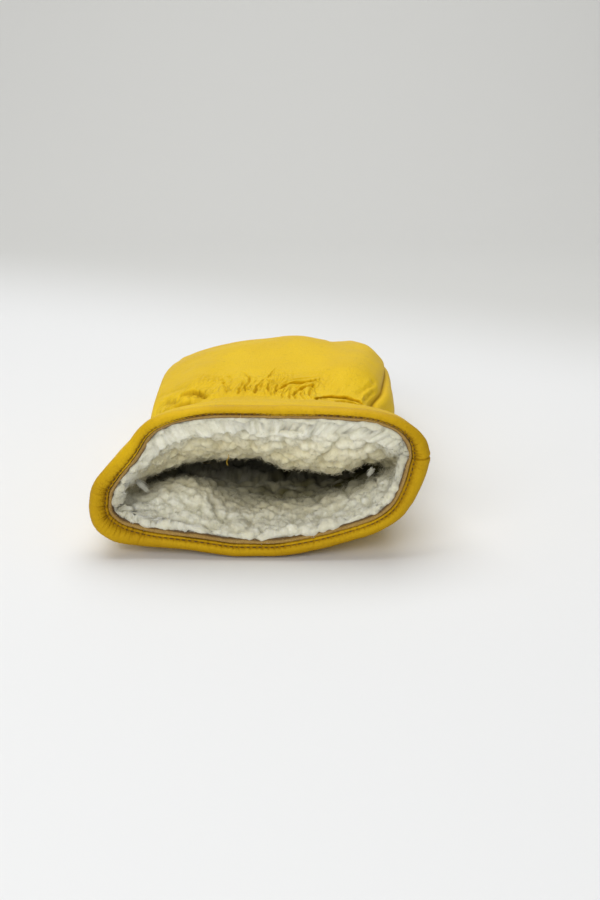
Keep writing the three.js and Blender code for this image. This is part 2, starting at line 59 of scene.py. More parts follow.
# Sections of the outer leather: y, width, height, then left, right and middle as shares of width,
# crown, low, fold and seam as shares of height, where the outseam runs, and four boxiness values.
SECTIONS = [
    (0, CUFF_WIDTH, CUFF_HEIGHT, 0.5, 0.5, 0, 1, 0, 0.31, 0.655, 1, 2.3, 2.4, 2, 2.2),
    (0.5 * WRIST_AT, CUFF_WIDTH, CUFF_HEIGHT, 0.445, 0.455, 0.01, 0.88, 0, 0.34, 0.59, 0.94,
     2.2, 2.5, 2.2, 2.2),
    (WRIST_AT, WRIST_WIDTH, WRIST_HEIGHT, 0.475, 0.505, 0.02, 1, 0.02, 0.5, 0.62, 0.87, 2.2, 2.8, 2.3, 2),
    (WRIST_AT + 0.2 * PALM_LENGTH, HAND_WIDTH, HAND_HEIGHT, 0.46, 0.52, 0.04, 0.94, 0, 0.62, 0.55, 0.875,
     1.75, 3.2, 2.8, 1.5),
    (WRIST_AT + 0.6 * PALM_LENGTH, HAND_WIDTH, HAND_HEIGHT, 0.455, 0.53, 0.06, 1, 0, 0.66, 0.5, 0.885,
     1.65, 3.4, 3, 1.18),
    (WRIST_AT + PALM_LENGTH, HAND_WIDTH, HAND_HEIGHT, 0.425, 0.505, 0.06, 0.84, 0, 0.58, 0.46, 0.9,
     1.7, 3, 2.8, 1.25),
    (LENGTH, HAND_WIDTH, HAND_HEIGHT, 0.4, 0.45, 0.05, 0.62, 0, 0.36, 0.36, 1, 2.1, 2.4, 2.4, 2),
]
NAMES = ["left", "right", "middle", "crown", "low", "fold", "seam", "joined", "backLeft", "backRight",
         "palmRight", "palmLeft"]
# The mouth's outline, x as a share of the half width and z as a share of the height.
MOUTH_TOP = [(-1.015, 0.31), (-0.99, 0.46), (-0.91, 0.59), (-0.795, 0.73), (-0.71, 0.85), (-0.6, 0.93),
             (-0.34, 0.995), (0, 1), (0.48, 0.988), (0.68, 0.965), (0.85, 0.9), (0.965, 0.78), (1, 0.655)]
MOUTH_UNDER = [(1, 0.655), (0.945, 0.44), (0.86, 0.28), (0.73, 0.175), (0.5, 0.09), (0.27, 0.03), (0.08, 0),
               (-0.14, 0), (-0.4, 0.035), (-0.7, 0.07), (-0.87, 0.12), (-0.98, 0.21), (-1.015, 0.31)]
# How the hollow narrows: y, drop of its roof as a share of the height there.
HOLLOW = [(0, 0.02), (0.35 * WRIST_AT, 0.15), (0.75 * WRIST_AT, 0.26), (WRIST_AT, 0.27),
          (1.5 * WRIST_AT, 0.12), (WRIST_AT + 0.6 * PALM_LENGTH, 0.02), (LENGTH, 0)]
# Swellings of the back: across, along, wide, front, back, rise.
SWELLINGS = [(0.84, 0.24, 0.16, 0.40, 0.8, 0.8), (0.22, 0.22, 0.12, 0.35, 0.7, 0.5),
             (0.6, 0.75, 0.16, 0.8, 0.9, 0.2), (0.9, 0.7, 0.07, 0.7, 0.6, 0.25),
             (0.6, 0.97, 0.16, 0.6, 0.6, 0.25), (0.885, 0.97, 0.07, 0.6, 0.5, 0.4),
             (0.775, 0.95, 0.055, 0.7, 0.6, -0.3)]
# The thumb's centre line: x, y, z and size.
THUMB_PATH = [(0.95, -0.1, 1, 0.9), (0.66, 0.08, 0.75, 1.16), (0.42, 0.28, 0.53, 1.12),
              (0.28, 0.5, 0.49, 1.04), (0.24, 0.75, 0.47, 0.97), (0.28, 1, 0.44, 0.8)]

# Thin creases of the gathered wrist: points as (share across the back, y), then depth, width, and how
# open the two ends are (1 keeps the crease deep to that end).
CREASES = [
    ([(0.05, 92), (0.12, 87), (0.19, 80), (0.23, 74)], 0.8, 2.6, 0.1, 0.5),
    ([(0.03, 105), (0.09, 101), (0.16, 95), (0.21, 90)], 0.5, 2.8, 0.1, 0.2),
    ([(0.10, 78), (0.15, 75), (0.2, 71)], 0.8, 1.6, 0.1, 0.4),
    ([(0.21, 83), (0.262, 81), (0.305, 77.5), (0.33, 74)], 1.0, 1.7, 0.2, 0.4),
    ([(0.235, 75.5), (0.262, 74), (0.29, 71)], 1.0, 1.4, 0.2, 0.3),
    ([(0.318, 97), (0.345, 91), (0.372, 84), (0.415, 74)], 1.1, 0.62, 0.1, 1.0),
    ([(0.345, 101), (0.375, 94), (0.388, 86)], 0.5, 0.6, 0.1, 0.3),
    ([(0.38, 82), (0.395, 77), (0.40, 72)], 0.5, 0.55, 0.1, 0.6),
    ([(0.405, 103), (0.44, 95), (0.462, 88), (0.465, 80), (0.495, 74)], 1.2, 0.62, 0.1, 1.0),
    ([(0.42, 91), (0.445, 84), (0.463, 73)], 0.8, 0.6, 0.1, 0.9),
    ([(0.455, 96), (0.485, 91), (0.49, 85)], 0.5, 0.6, 0.1, 0.2),
    ([(0.55, 106), (0.535, 98), (0.52, 90), (0.51, 83), (0.532, 74)], 1.3, 0.65, 0.2, 1.0),
    ([(0.53, 90), (0.556, 83), (0.567, 78), (0.597, 72)], 1.1, 0.6, 0.6, 1.0),
    ([(0.575, 88), (0.583, 80), (0.59, 74)], 0.5, 0.55, 0.1, 0.6),
    ([(0.735, 92), (0.69, 91.5), (0.655, 90), (0.62, 86), (0.60, 81), (0.612, 73)], 1.0, 0.8, 0.2, 1.0),
    ([(0.745, 86), (0.705, 84.5), (0.682, 81), (0.684, 74), (0.70, 60)], 1.1, 0.8, 0.3, 0.5),
    ([(0.705, 79), (0.715, 70), (0.732, 57)], 1.0, 0.7, 0.3, 0.3),
    ([(0.74, 80), (0.748, 70), (0.765, 58)], 1.1, 0.7, 0.4, 0.3),
    ([(0.634, 80), (0.64, 72), (0.645, 62)], 0.9, 0.65, 0.3, 0.3),
    ([(0.665, 78), (0.668, 70), (0.675, 60)], 0.9, 0.65, 0.3, 0.3),
    ([(0.10, 68), (0.13, 63), (0.18, 59)], 0.8, 1.1, 0.2, 0.2),
    ([(0.06, 62), (0.10, 57), (0.15, 54)], 0.6, 1.2, 0.2, 0.2),
    ([(0.865, 60), (0.88, 64), (0.92, 65), (0.945, 62)], 0.7, 0.9, 0.2, 0.2),
    ([(0.795, 67), (0.802, 57)], 0.9, 0.7, 0.3, 0.2),
    ([(0.82, 65), (0.832, 56)], 0.8, 0.6, 0.3, 0.2),
    ([(0.855, 62), (0.862, 55)], 0.7, 0.6, 0.2, 0.2),
    ([(0.895, 63), (0.902, 55)], 0.8, 0.7, 0.3, 0.2),
    ([(0.925, 65), (0.94, 56)], 0.8, 0.7, 0.3, 0.2),
    ([(0.968, 75), (0.975, 84), (0.985, 92), (0.992, 106)], 1.1, 1.5, 0.7, 0.1),
    ([(0.93, 79), (0.945, 88), (0.95, 100)], 0.6, 1.8, 0.5, 0.1),
]
# Folds whose finger side hangs over the wrist side: points, rise, reach towards the fingers, overhang.
FOLDS = [
    ([(0.765, 60), (0.782, 67), (0.805, 71.5), (0.85, 73.6), (0.90, 73.6), (0.945, 72.0), (0.978, 66)],
     1.5, 15, 2.8),
    ([(0.835, 56), (0.85, 62), (0.885, 65.2), (0.93, 66.2), (0.957, 61)], 0.9, 4.0, 1.6),
    ([(0.17, 86), (0.215, 84.5), (0.262, 82.5), (0.305, 79), (0.337, 73)], 0.8, 10, 0.5),
    ([(0.17, 78), (0.215, 76), (0.25, 74), (0.288, 70.5)], 0.7, 4.5, 0.3),
    ([(0.60, 76), (0.622, 82), (0.66, 86), (0.70, 88), (0.745, 88)], 0.8, 7.0, 0.9),
    ([(0.684, 72), (0.688, 77), (0.71, 81), (0.75, 82)], 0.8, 4.5, 0.9),
]
# Puckers between the creases: share, half width in mm, y of the top, reach towards the fingers, height.
PUCKERS = [
    (0.372, 4.6, 78, 20, 0.8), (0.438, 4.4, 79, 22, 0.9), (0.48, 2.6, 78, 17, 0.6), (0.513, 2.8, 78, 19, 0.7),
    (0.553, 3.4, 77, 22, 0.8), (0.585, 2.2, 77, 14, 0.5), (0.645, 5, 79, 14, 0.9), (0.725, 3, 80, 10, 0.7),
    (0.345, 3, 88, 16, 0.5), (0.4, 3.4, 90, 18, 0.4),
]
# How wide the rolled hem looks round the mouth: share round it, and width in mm up to the stitches.
ROLL_WIDTH = [(0, 8), (0.08, 7.6), (0.15, 7.1), (0.22, 6.2), (0.3, 5.1), (0.4, 4.5), (0.6, 4.4), (0.8, 4.5),
              (0.88, 5.3), (0.95, 6.8), (1, 7.8), (1.08, 7.6), (1.2, 6.8), (1.4, 6.6), (1.6, 6.6), (1.8, 6.9),
              (1.92, 7.6), (2, 8)]
# The width that PROFILE is drawn for.
ROLL = 6.8
# The pile that hangs in the mouth: x, and the height of its lowest edge, at y = LIP_AT.
LIP_AT = 22.0
LIP = [(-66, 24.5), (-56, 27.5), (-49.6, 30.5), (-47.4, 33.3), (-40.4, 36.6), (-28.9, 40.2), (-15.2, 41.2),
       (-5.9, 41.2), (3.4, 38.2), (12.7, 35.4), (21.5, 35), (29, 33), (33.5, 33), (43.6, 35.2), (50.7, 37.4),
       (58.2, 38.6), (66, 42)]
# The crest of the pile on the palm side: x, and its height, at y = CREST_AT.
CREST_AT = 26.0
CREST = [(-66, 17), (-61.6, 18), (-53, 21.2), (-45, 23.2), (-36.8, 24), (-28, 22.8), (-23, 19), (-18.3, 15.8),
         (-9, 12), (3.4, 10.4), (12.7, 10.8), (21, 12.5), (26.8, 14.4), (32.6, 16.2), (43.6, 20.8),
         (50.7, 26), (60, 31), (66, 34)]


def smooth(a, b, x):
    """From 0 at a to 1 at b, with soft ends."""
    t = np.clip((np.asarray(x, float) - a) / (b - a), 0, 1)
    return t * t * (3 - 2 * t)


def fall(a, b, x):
    return 1 - smooth(a, b, x)


def hill(a, b, c, d, x):
    """Rises from a to b and falls from c to d."""
    return smooth(a, b, x) * fall(c, d, x)


def bell(x, wide):
    return np.exp(-(x / wide) ** 2)


def unit(v):
    return v / np.maximum(1e-9, np.linalg.norm(v, axis=-1, keepdims=True))


def facing(normals, way):
    """The normals, turned so that most of them look along way."""
    return normals if np.sum(normals * way) >= 0 else -normals


def curve(xs, ys):
    """A smooth line through the points xs, ys that never overshoots them."""
    xs, ys = np.asarray(xs, float), np.asarray(ys, float)
    rise = np.diff(ys) / np.diff(xs)
    slope = np.zeros(len(xs))
    for i in range(1, len(xs) - 1):
        a, b = rise[i - 1], rise[i]
        slope[i] = 0 if a * b <= 0 else 2 * a * b / (a + b)

    def f(x):
        x = np.clip(np.asarray(x, float), xs[0], xs[-1])
        i = np.clip(np.searchsorted(xs, x, side="left") - 1, 0, len(xs) - 2)
        h = xs[i + 1] - xs[i]
        s = (x - xs[i]) / h
        return (ys[i] * (1 + 2 * s) * (1 - s) ** 2 + ys[i + 1] * s * s * (3 - 2 * s)
                + h * (slope[i] * s * (1 - s) ** 2 - slope[i + 1] * s * s * (1 - s)))
    return f


OUTER = {}
for k, name in enumerate(NAMES):
    # The first three are shares of the width, the next four of the height, and the others plain numbers.
    unit_of = lambda row: row[1] if k < 3 else row[2] if k < 7 else 1
    OUTER[name] = curve([r[0] for r in SECTIONS], [r[3 + k] * unit_of(r) for r in SECTIONS])
HOLLOW_DROP = curve(*zip(*HOLLOW))


def outer_sizes(y):
    return {n: float(f(y)) for n, f in OUTER.items()}


def hollow_sizes(y):
    """The sizes of the hollow inside the pile, as outer_sizes gives them for the leather."""
    s = outer_sizes(y)
    wall = PILE + LEATHER
    side = wall + fall(0, 24, y) * (HEM_ROLL + TURN_IN - PILE + 1)
    height = s["crown"] - s["low"]
    low = s["low"] + wall
    crown = s["crown"] - side - float(HOLLOW_DROP(y)) * height

    def level(z):
        return low + (crown - low) * (z - s["low"]) / height

    return {**s, "left": s["left"] - side, "right": s["right"] - side, "low": low, "crown": crown,
            "fold": level(s["fold"]), "seam": level(s["seam"])}


def quarter(cx, cz, a, b, power, start, end):
    """A quarter of a superellipse, boxier where power is higher."""
    t = np.linspace(start, end, QUARTER_POINTS)
    c, s = np.cos(t), np.sin(t)
    x, z = np.sign(c) * np.abs(c) ** (2 / power), np.sign(s) * np.abs(s) ** (2 / power)
    return np.stack([cx + a * x, cz + b * z], 1)


def measured(p):
    """A line of points and the way along it up to each."""
    return p, np.concatenate([[0], np.cumsum(np.hypot(*np.diff(p, axis=0).T))])


def at_share(line, share):
    p, length = line
    goal = np.clip(share, 0, 1) * length[-1]
    return np.interp(goal, length, p[:, 0]), np.interp(goal, length, p[:, 1])


def catmull(points, n):
    """A centripetal curve through points, sampled n times."""
    p = np.asarray(points, float)
    p = np.vstack([2 * p[0] - p[1], p, 2 * p[-1] - p[-2]])
    out = []
    for q in range(n + 1):
        t = q / n * (len(points) - 1)
        i = min(int(t), len(points) - 2)
        u = t - i
        p0, p1, p2, p3 = p[i:i + 4]
        d = [max(1e-4, float(np.sum((b - a) ** 2)) ** 0.25) for a, b in ((p0, p1), (p1, p2), (p2, p3))]
        t1 = ((p1 - p0) / d[0] - (p2 - p0) / (d[0] + d[1]) + (p2 - p1) / d[1]) * d[1]
        t2 = ((p2 - p1) / d[1] - (p3 - p1) / (d[1] + d[2]) + (p3 - p2) / d[2]) * d[1]
        out.append(p1 + t1 * u + (3 * (p2 - p1) - 2 * t1 - t2) * u * u + (2 * (p1 - p2) + t1 + t2) * u ** 3)
    return np.array(out)


def mouth_line(rows):
    p = catmull(rows, 240)
    p[:, 1] = np.maximum(0, p[:, 1])
    return measured(p)


MOUTH = {"top": mouth_line(MOUTH_TOP), "under": mouth_line(MOUTH_UNDER)}


def skin_row(w, y, sizes=outer_sizes, end=LENGTH):
    """Points of the skin at y, at the shares w round its section: 0 to 1 over the back, 1 to 2 below."""
    w = np.mod(np.asarray(w, float), 2)
    s = sizes(max(0, y))
    q = math.pi / 2
    m, left, right, press = s["middle"], s["middle"] + s["left"], s["right"] - s["middle"], 1 + PRESS
    fold, seam, crown, low = s["fold"], s["seam"], s["crown"], s["low"]
    top = np.vstack([quarter(m, fold, left, crown - fold, s["backLeft"], 2 * q, q),
                     quarter(m, seam, right, crown - seam, s["backRight"], q, 0)[1:]])
    under = np.vstack([quarter(m, seam, right, press * (seam - low), s["palmRight"], 0, -q),
                       quarter(m, fold, left, press * (fold - low), s["palmLeft"], -q, -2 * q)[1:]])
    for p in (top, under):
        p[:, 1] = np.maximum(low, p[:, 1])
    up = w <= 1
    share = np.where(up, w, w - 1)
    sx, sz = np.where(up, at_share(measured(top), share), at_share(measured(under), share))
    mx, mz = np.where(up, at_share(MOUTH["top"], share), at_share(MOUTH["under"], share))
    hold = fall(0, MOUTH_HELD, y)
    x = sx + (mx * np.where(mx < 0, s["left"], s["right"]) - sx) * hold
    z = sz + (low + (crown - low) * mz - sz) * hold
    reach = min(1, max(0, (y - TIP_START) / (end - TIP_START)))
    tip = (1 - reach ** TIP_POWER) ** (1 / TIP_POWER)
    bow = np.where(up, 0, HEM_BOW * np.sin(np.pi * share) * hold)
    return np.stack([TIP_ASIDE + (x - TIP_ASIDE) * tip, y - bow, TIP_RISE + (z - TIP_RISE) * tip], 1)


def outward(grid, wraps=False):
    """Unit normals of a grid of points whose rows run along y and whose columns run round the section."""
    if wraps:
        wide = np.concatenate([grid[:, -1:], grid, grid[:, :1]], 1)
        across = wide[:, 2:] - wide[:, :-2]
    else:
        across = np.gradient(grid, axis=1)
    return unit(np.cross(across, np.gradient(grid, axis=0)))


# How far the scattered points of neighbours() stray from the middles of their cells.
CELL_JITTER = 0.95


def hashed(i, j, k, seed):
    """Numbers from 0 to 1 that look random, one for each cell."""
    n = (i * 73856093) ^ (j * 19349663) ^ (k * 83492791) ^ (seed * 97531357)
    n = n & 0xFFFFFFFF
    n = ((n ^ (n >> 13)) * 1274126177) & 0xFFFFFFFF
    n = ((n ^ (n >> 15)) * 668265263) & 0xFFFFFFFF
    return (n ^ (n >> 16)) / 4294967295.0


def noise(p, scale, seed=0):
    """Smooth noise from -1 to 1 at the points p, with features of the size scale."""
    q = np.asarray(p, float) / scale
    i = np.floor(q).astype(np.int64)
    f = q - i
    f = f * f * (3 - 2 * f)
    total = 0
    for dx, dy, dz in itertools.product((0, 1), repeat=3):
        share = ((f[..., 0] if dx else 1 - f[..., 0]) * (f[..., 1] if dy else 1 - f[..., 1])
                 * (f[..., 2] if dz else 1 - f[..., 2]))
        total = total + share * hashed(i[..., 0] + dx, i[..., 1] + dy, i[..., 2] + dz, seed)
    return 2 * total - 1


def noise_xyz(p, scale, seed):
    return np.stack([noise(p, scale, seed + k) for k in range(3)], -1)


def ripples(x, y, wide, long, seed):
    """Noise drawn out along y."""
    return noise(np.stack([x / wide, y / long, 0 * x], -1), 1.0, seed)


def layered(p, scale, seed, layers):
    """Noise in layers, each half the size and half the strength of the one before."""
    return sum(0.5 ** k * noise(p, scale / 2 ** k, seed + 17 * k) for k in range(layers))


def neighbours(p, scale, seed):
    """Distances from p to the scattered points around it, in units of scale, and the points' numbers."""
    q = np.asarray(p, float) / scale
    i = np.floor(q).astype(np.int64)
    for d in itertools.product((-1, 0, 1), repeat=3):
        c = [i[..., a] + d[a] for a in range(3)]
        o = [c[a] + 0.5 + CELL_JITTER * (hashed(*c, seed + a) - 0.5) for a in range(3)]
        yield np.sqrt(sum((q[..., a] - o[a]) ** 2 for a in range(3))), hashed(*c, seed + 7)


def soft_cells(p, scale, seed, k):
    """Like the distance to the nearest of scattered points, in units of scale, but smooth between them."""
    total, tall = 0, 0
    for far, number in neighbours(p, scale, seed):
        share = np.exp(-k * far)
        total = total + share
        tall = tall + share * number
    return -np.log(total) / k, tall / total


def cells(p, scale, seed):
    """Distances to the nearest and the second nearest of scattered points, in units of scale."""
    first, second = np.full(p.shape[:-1], 9.0), np.full(p.shape[:-1], 9.0)
    for far, _ in neighbours(p, scale, seed):
        second = np.where(far < first, first, np.minimum(second, far))
        first = np.minimum(first, far)
    return first, second


def grid_faces(rows, columns, wrap_rows=False, wrap_columns=False, flip=False):
    r = np.arange(rows if wrap_rows else rows - 1)[:, None]
    c = np.arange(columns if wrap_columns else columns - 1)[None, :]
    below, above = r * columns, (r + 1) % rows * columns
    a, b, d, e = below + c, below + (c + 1) % columns, above + c, above + (c + 1) % columns
    return np.stack([a, d, e, b] if flip else [a, b, e, d], -1).reshape(-1, 4)


def fan_faces(start, sides, tip):
    """Triangles from the ring of points that begins at start to one point."""
    k = np.arange(sides)
    return np.stack([start + k, start + (k + 1) % sides, np.full(sides, tip)], 1)


def turn(sides):
    return 2 * np.pi * np.arange(sides) / sides


def above_floor(points):
    points[..., 2] = np.maximum(points[..., 2], 0.0)
    return points


def linked(name, data):
    thing = bpy.data.objects.new(name, data)
    bpy.context.scene.collection.objects.link(thing)
    return thing


def make_mesh(name, points, faces, material, **values):
    """A smooth mesh from points in mm and a list of face arrays, with values of the points as attributes."""
    mesh = bpy.data.meshes.new(name)
    points = (np.asarray(points, float).reshape(-1, 3) + SHIFT) / 1000
    mesh.from_pydata(points.tolist(), [], [f for part in faces for f in part.tolist()])
    mesh.polygons.foreach_set("use_smooth", np.ones(len(mesh.polygons), bool))
    for key, value in values.items():
        made = mesh.attributes.new(key, "FLOAT", "POINT")
        made.data.foreach_set("value", np.asarray(value, np.float32).ravel())
    mesh.materials.append(material)
    mesh.update()
    return linked(name, mesh)


def piece(thing, slot_name, *nodes):
    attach(thing, "root")
    if nodes:
        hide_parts(*nodes)


class Shader:
    """Builds a material's nodes: values that are sockets are linked, others are set."""

    def __init__(self, name):
        self.material = bpy.data.materials.new(name)
        self.material.use_nodes = True
        self.tree = self.material.node_tree
        self.tree.nodes.clear()

    def join(self, socket, value):
        if isinstance(value, bpy.types.NodeSocket):
            self.tree.links.new(value, socket)
        else:
            socket.default_value = value

    def add(self, kind, out=0, settings=None, **inputs):
        """A new node's output number out. Inputs go by name, or by number as i0, i1 and so on."""
        node = self.tree.nodes.new("ShaderNode" + kind)
        for key, value in (settings or {}).items():
            setattr(node, key, value)
        for key, value in inputs.items():
            self.join(node.inputs[int(key[1:]) if key[1:].isdigit() else key], value)
        return node.outputs[out]

    def math(self, how, a, b):
        return self.add("Math", settings={"operation": how}, i0=a, i1=b)

    def times(self, a, b):
        return self.math("MULTIPLY", a, b)

    def plus(self, *values):
        total = values[0]
        for value in values[1:]:
            total = self.math("ADD", total, value)
        return total

    def rest(self, a):
        return self.math("SUBTRACT", 1.0, a)

    def vector(self, how, a, b):
        return self.add("VectorMath", settings={"operation": how}, i0=a, i1=b)

    def scaled(self, a, size):
        return self.add("VectorMath", settings={"operation": "SCALE"}, i0=a, Scale=size)

    def mm(self):
        """The point in millimetres, in the object's own coordinates."""
        return self.scaled(self.add("TexCoord", out=3), 1000.0)

    def noise(self, place, size, detail, rough=0.5, out=0):
        return self.add("TexNoise", out=out, Vector=place, Scale=1 / size, Detail=detail, Roughness=rough)

    def edges(self, place, size):
        return self.add("TexVoronoi", settings={"feature": "DISTANCE_TO_EDGE"}, Vector=place, Scale=1 / size)

    def warped(self, place, size, amount):
        centred = self.vector("SUBTRACT", self.noise(place, size, 2.0, out=1), (0.5, 0.5, 0.5))
        return self.vector("ADD", place, self.scaled(centred, amount))

    def span(self, value, low, high, to_low=0.0, to_high=1.0):
        return self.add("MapRange", settings={"interpolation_type": "SMOOTHSTEP"}, Value=value, i1=low,
                        i2=high, i3=to_low, i4=to_high)

    def blend(self, share, a, b):
        node = self.tree.nodes.new("ShaderNodeMix")
        node.data_type = "RGBA"
        for number, value in ((0, share), (6, a), (7, b)):
            self.join(node.inputs[number], value)
        return node.outputs[2]

    def value(self, name):
        return self.add("Attribute", out=2, settings={"attribute_name": name})

    def finish(self, height, distance, strength=1.0, **inputs):
        if height is not None:
            inputs["Normal"] = self.add("Bump", Height=height, Distance=distance, Strength=strength)
        shader = self.add("BsdfPrincipled", **inputs)
        out = self.tree.nodes.new("ShaderNodeOutputMaterial")
        self.tree.links.new(shader, out.inputs["Surface"])
        return self.material


GRAIN = 1.05
# The deep yellow darkens grain pits and is also painted shade in creases; the paler yellows make random paler
# patches and are also a painted highlight on raised ridges.
YELLOW, YELLOW_WORN_AND_HIGHLIGHT, YELLOW_PIT_AND_SHADE = (0.735, 0.475, 0.004, 1), (0.79, 0.53, 0.012, 1), (0.33, 0.17, 0.002, 1)
# The hem's yellows are darker copies of the back's: painted shade for the roll, which faces away from the
# overhead lamp.
HEM_YELLOW_SHADED, HEM_WORN_AND_HIGHLIGHT_SHADED = (0.60, 0.355, 0.003, 1), (0.71, 0.445, 0.006, 1)
RAW_DARK, RAW_PALE = (0.34, 0.20, 0.05, 1), (0.47, 0.31, 0.095, 1)
# The deep raw colour is painted shade in the gaps at the strip's edges.
RAW_PATCH, RAW_GAP_SHADE = (0.33, 0.18, 0.045, 1), (0.055, 0.022, 0.008, 1)
# Of the pile's colours, the shade one is painted shade in its curls, the one for the gaps painted shade
# between its lumps, the deep one painted shade deep in the hollow, and the warm one painted yellow light
# thrown back from the leather.
PILE_MAIN, PILE_PALE, PILE_SHADE = (0.90, 0.88, 0.72, 1), (0.95, 0.94, 0.81, 1), (0.60, 0.57, 0.43, 1)
PILE_LUMP_GAP_SHADE, PILE_WARM, PILE_HOLLOW_SHADE = (0.62, 0.59, 0.42, 1), (0.79, 0.71, 0.43, 1), (0.077, 0.068, 0.020, 1)


def leather_material(name, main, worn_and_highlight):
    """Pebbled grain, a net of fine lines, pores, and drawn lines where the leather is gathered. The drawn
    lines and a darker colour in creases, seams and folds are painted shade; raised ridges get a painted
    highlight.
    """
    s = Shader(name)
    place = s.mm()
    fine_place = s.warped(place, 1.6, 0.5)
    pebble = s.add("TexVoronoi", Vector=fine_place, Scale=1 / GRAIN)
    pit_line = s.span(s.edges(fine_place, GRAIN), 0.0, 0.16)
    net_line = s.span(s.edges(s.warped(place, 6.0, 1.6), 3.4), 0.0, 0.085)
    patch = s.noise(place, 26.0, 3.0)
    where_net = s.span(s.noise(place, 14.0, 2.0), 0.42, 0.62)
    pore = s.noise(place, 2.2, 4.0, 0.6)
    cavity, crinkle = s.value("cavity"), s.value("crinkle")
    gathers = s.edges(s.vector("MULTIPLY", s.warped(place, 3.5, 3.4), (0.30, 0.09, 0.14)), 1.0)
    gather_line = s.times(s.rest(s.span(gathers, 0.0, 0.075)), crinkle)
    base = s.blend(s.span(patch, 0.3, 0.7), main, worn_and_highlight)
    # Grain pits, net lines and pores are darker in colour; the gather lines and the hollows get painted
    # shade, and raised ridges a painted highlight.
    for share, strength, colour in (
            (s.rest(pit_line), 0.12, YELLOW_PIT_AND_SHADE), (s.times(s.rest(net_line), where_net), 0.08, YELLOW_PIT_AND_SHADE),
            (s.span(pore, 0.58, 0.70), 0.22, YELLOW_PIT_AND_SHADE), (gather_line, 0.38, YELLOW_PIT_AND_SHADE),
            (cavity, 0.85, YELLOW_PIT_AND_SHADE), (s.value("ridge"), 0.30, worn_and_highlight)):
        base = s.blend(s.times(share, strength), base, colour)
    gather_puff = s.times(s.span(gathers, 0.0, 0.42), crinkle)
    height = s.plus(s.times(pit_line, 0.20), s.times(pebble, -0.30),
                    s.times(s.times(net_line, where_net), 0.34),
                    s.times(gather_puff, 1.5), s.times(gather_line, -1.2),
                    s.times(s.noise(place, 0.4, 3.0), 0.22), s.times(pore, 0.7))
    rough = s.plus(s.span(patch, 0.3, 0.7, 0.47, 0.55), s.times(cavity, 0.25))
    return s.finish(height, 0.00020, **{"Base Color": base, "Roughness": rough, "Specular IOR Level": 0.12})


def raw_material(name):
    s = Shader(name)
    place = s.mm()
    fibre = s.noise(place, 0.55, 5.0, 0.7)
    base = s.blend(s.span(fibre, 0.35, 0.65), RAW_DARK, RAW_PALE)
    base = s.blend(s.times(s.span(s.noise(place, 5.0, 3.0), 0.45, 0.7), 0.35), base, RAW_PATCH)
    # Painted shade in the gaps at the strip's edges.
    base = s.blend(s.times(s.value("cavity"), 0.9), base, RAW_GAP_SHADE)
    return s.finish(fibre, 0.00025, **{"Base Color": base, "Roughness": 0.92, "Specular IOR Level": 0.15,
                                       "Sheen Weight": 0.15})


def thread_material(name, colour):
    s = Shader(name)
    fibre = s.noise(s.mm(), 0.2, 3.0)
    base = s.blend(s.span(fibre, 0.3, 0.7), colour, tuple(0.55 * c for c in colour[:3]) + (1,))
    return s.finish(fibre, 0.00008, **{"Base Color": base, "Roughness": 0.75})


def pile_material(name):
    """White wool, with painted shade in its curls and between its lumps, painted yellow light where the
    leather shines on it, and dark painted shade without sheen deep in the hollow.
    """
    s = Shader(name)
    place = s.mm()
    fluff = s.noise(s.warped(place, 1.2, 0.8), 0.5, 5.0, 0.7)
    curl = s.noise(s.warped(place, 2.5, 2.0), 1.5, 4.0, 0.6)
    depth = s.value("depth")
    base = s.blend(s.span(s.noise(place, 12.0, 2.0), 0.35, 0.65), PILE_MAIN, PILE_PALE)
    for share, colour in ((s.times(s.span(curl, 0.62, 0.42), 0.25), PILE_SHADE),
                          (s.times(s.value("cavity"), 0.6), PILE_LUMP_GAP_SHADE), (s.value("warmth"), PILE_WARM),
                          (depth, PILE_HOLLOW_SHADE)):
        base = s.blend(share, base, colour)
    return s.finish(s.plus(s.times(fluff, 0.35), s.times(curl, 0.8)), 0.0005, 0.8, **{
        "Base Color": base, "Roughness": 0.95, "Specular IOR Level": 0.1, "Sheen Roughness": 0.6,
        "Sheen Weight": s.times(s.rest(depth), 0.35), "Subsurface Weight": s.times(s.rest(depth), 0.5),
        "Subsurface Radius": (0.0036, 0.0034, 0.0027), "Subsurface Scale": 1.0})


back_leather = leather_material("leather_yellow_back", YELLOW, YELLOW_WORN_AND_HIGHLIGHT)
# The hem gets the back's leather in a darker copy, as painted shade.
hem_leather = leather_material("leather_yellow_hem", HEM_YELLOW_SHADED, HEM_WORN_AND_HIGHLIGHT_SHADED)
raw_look = raw_material("leather_raw_edge")
dark_thread = thread_material("thread_brown", (0.16, 0.075, 0.012, 1))
tan_thread = thread_material("thread_tan", (0.42, 0.25, 0.06, 1))
yellow_thread = thread_material("thread_yellow", (0.62, 0.38, 0.01, 1))
pile_look = pile_material("pile_white")


def polyline_field(x, y, line):
    """Distance from each point to a line, and the place nearest to it, from 0 to 1 along the line."""
    line = np.asarray(line, float)
    parts = np.hypot(*np.diff(line, axis=0).T)
    total, done = parts.sum(), 0.0
    best, along = np.full(x.shape, 1e9), np.zeros(x.shape)
    for (ax, ay), (bx, by), part in zip(line[:-1], line[1:], parts):
        t = np.clip(((x - ax) * (bx - ax) + (y - ay) * (by - ay)) / part ** 2, 0, 1)
        far = np.hypot(x - ax - t * (bx - ax), y - ay - t * (by - ay))
        near = far < best
        best = np.where(near, far, best)
        along = np.where(near, (done + t * part) / total, along)
        done += part
    return best, along


# The way across the back from seam to seam, and the size of the crackle at the wrist.
BACK_ARC, CRACKLE = 168.0, 3.4


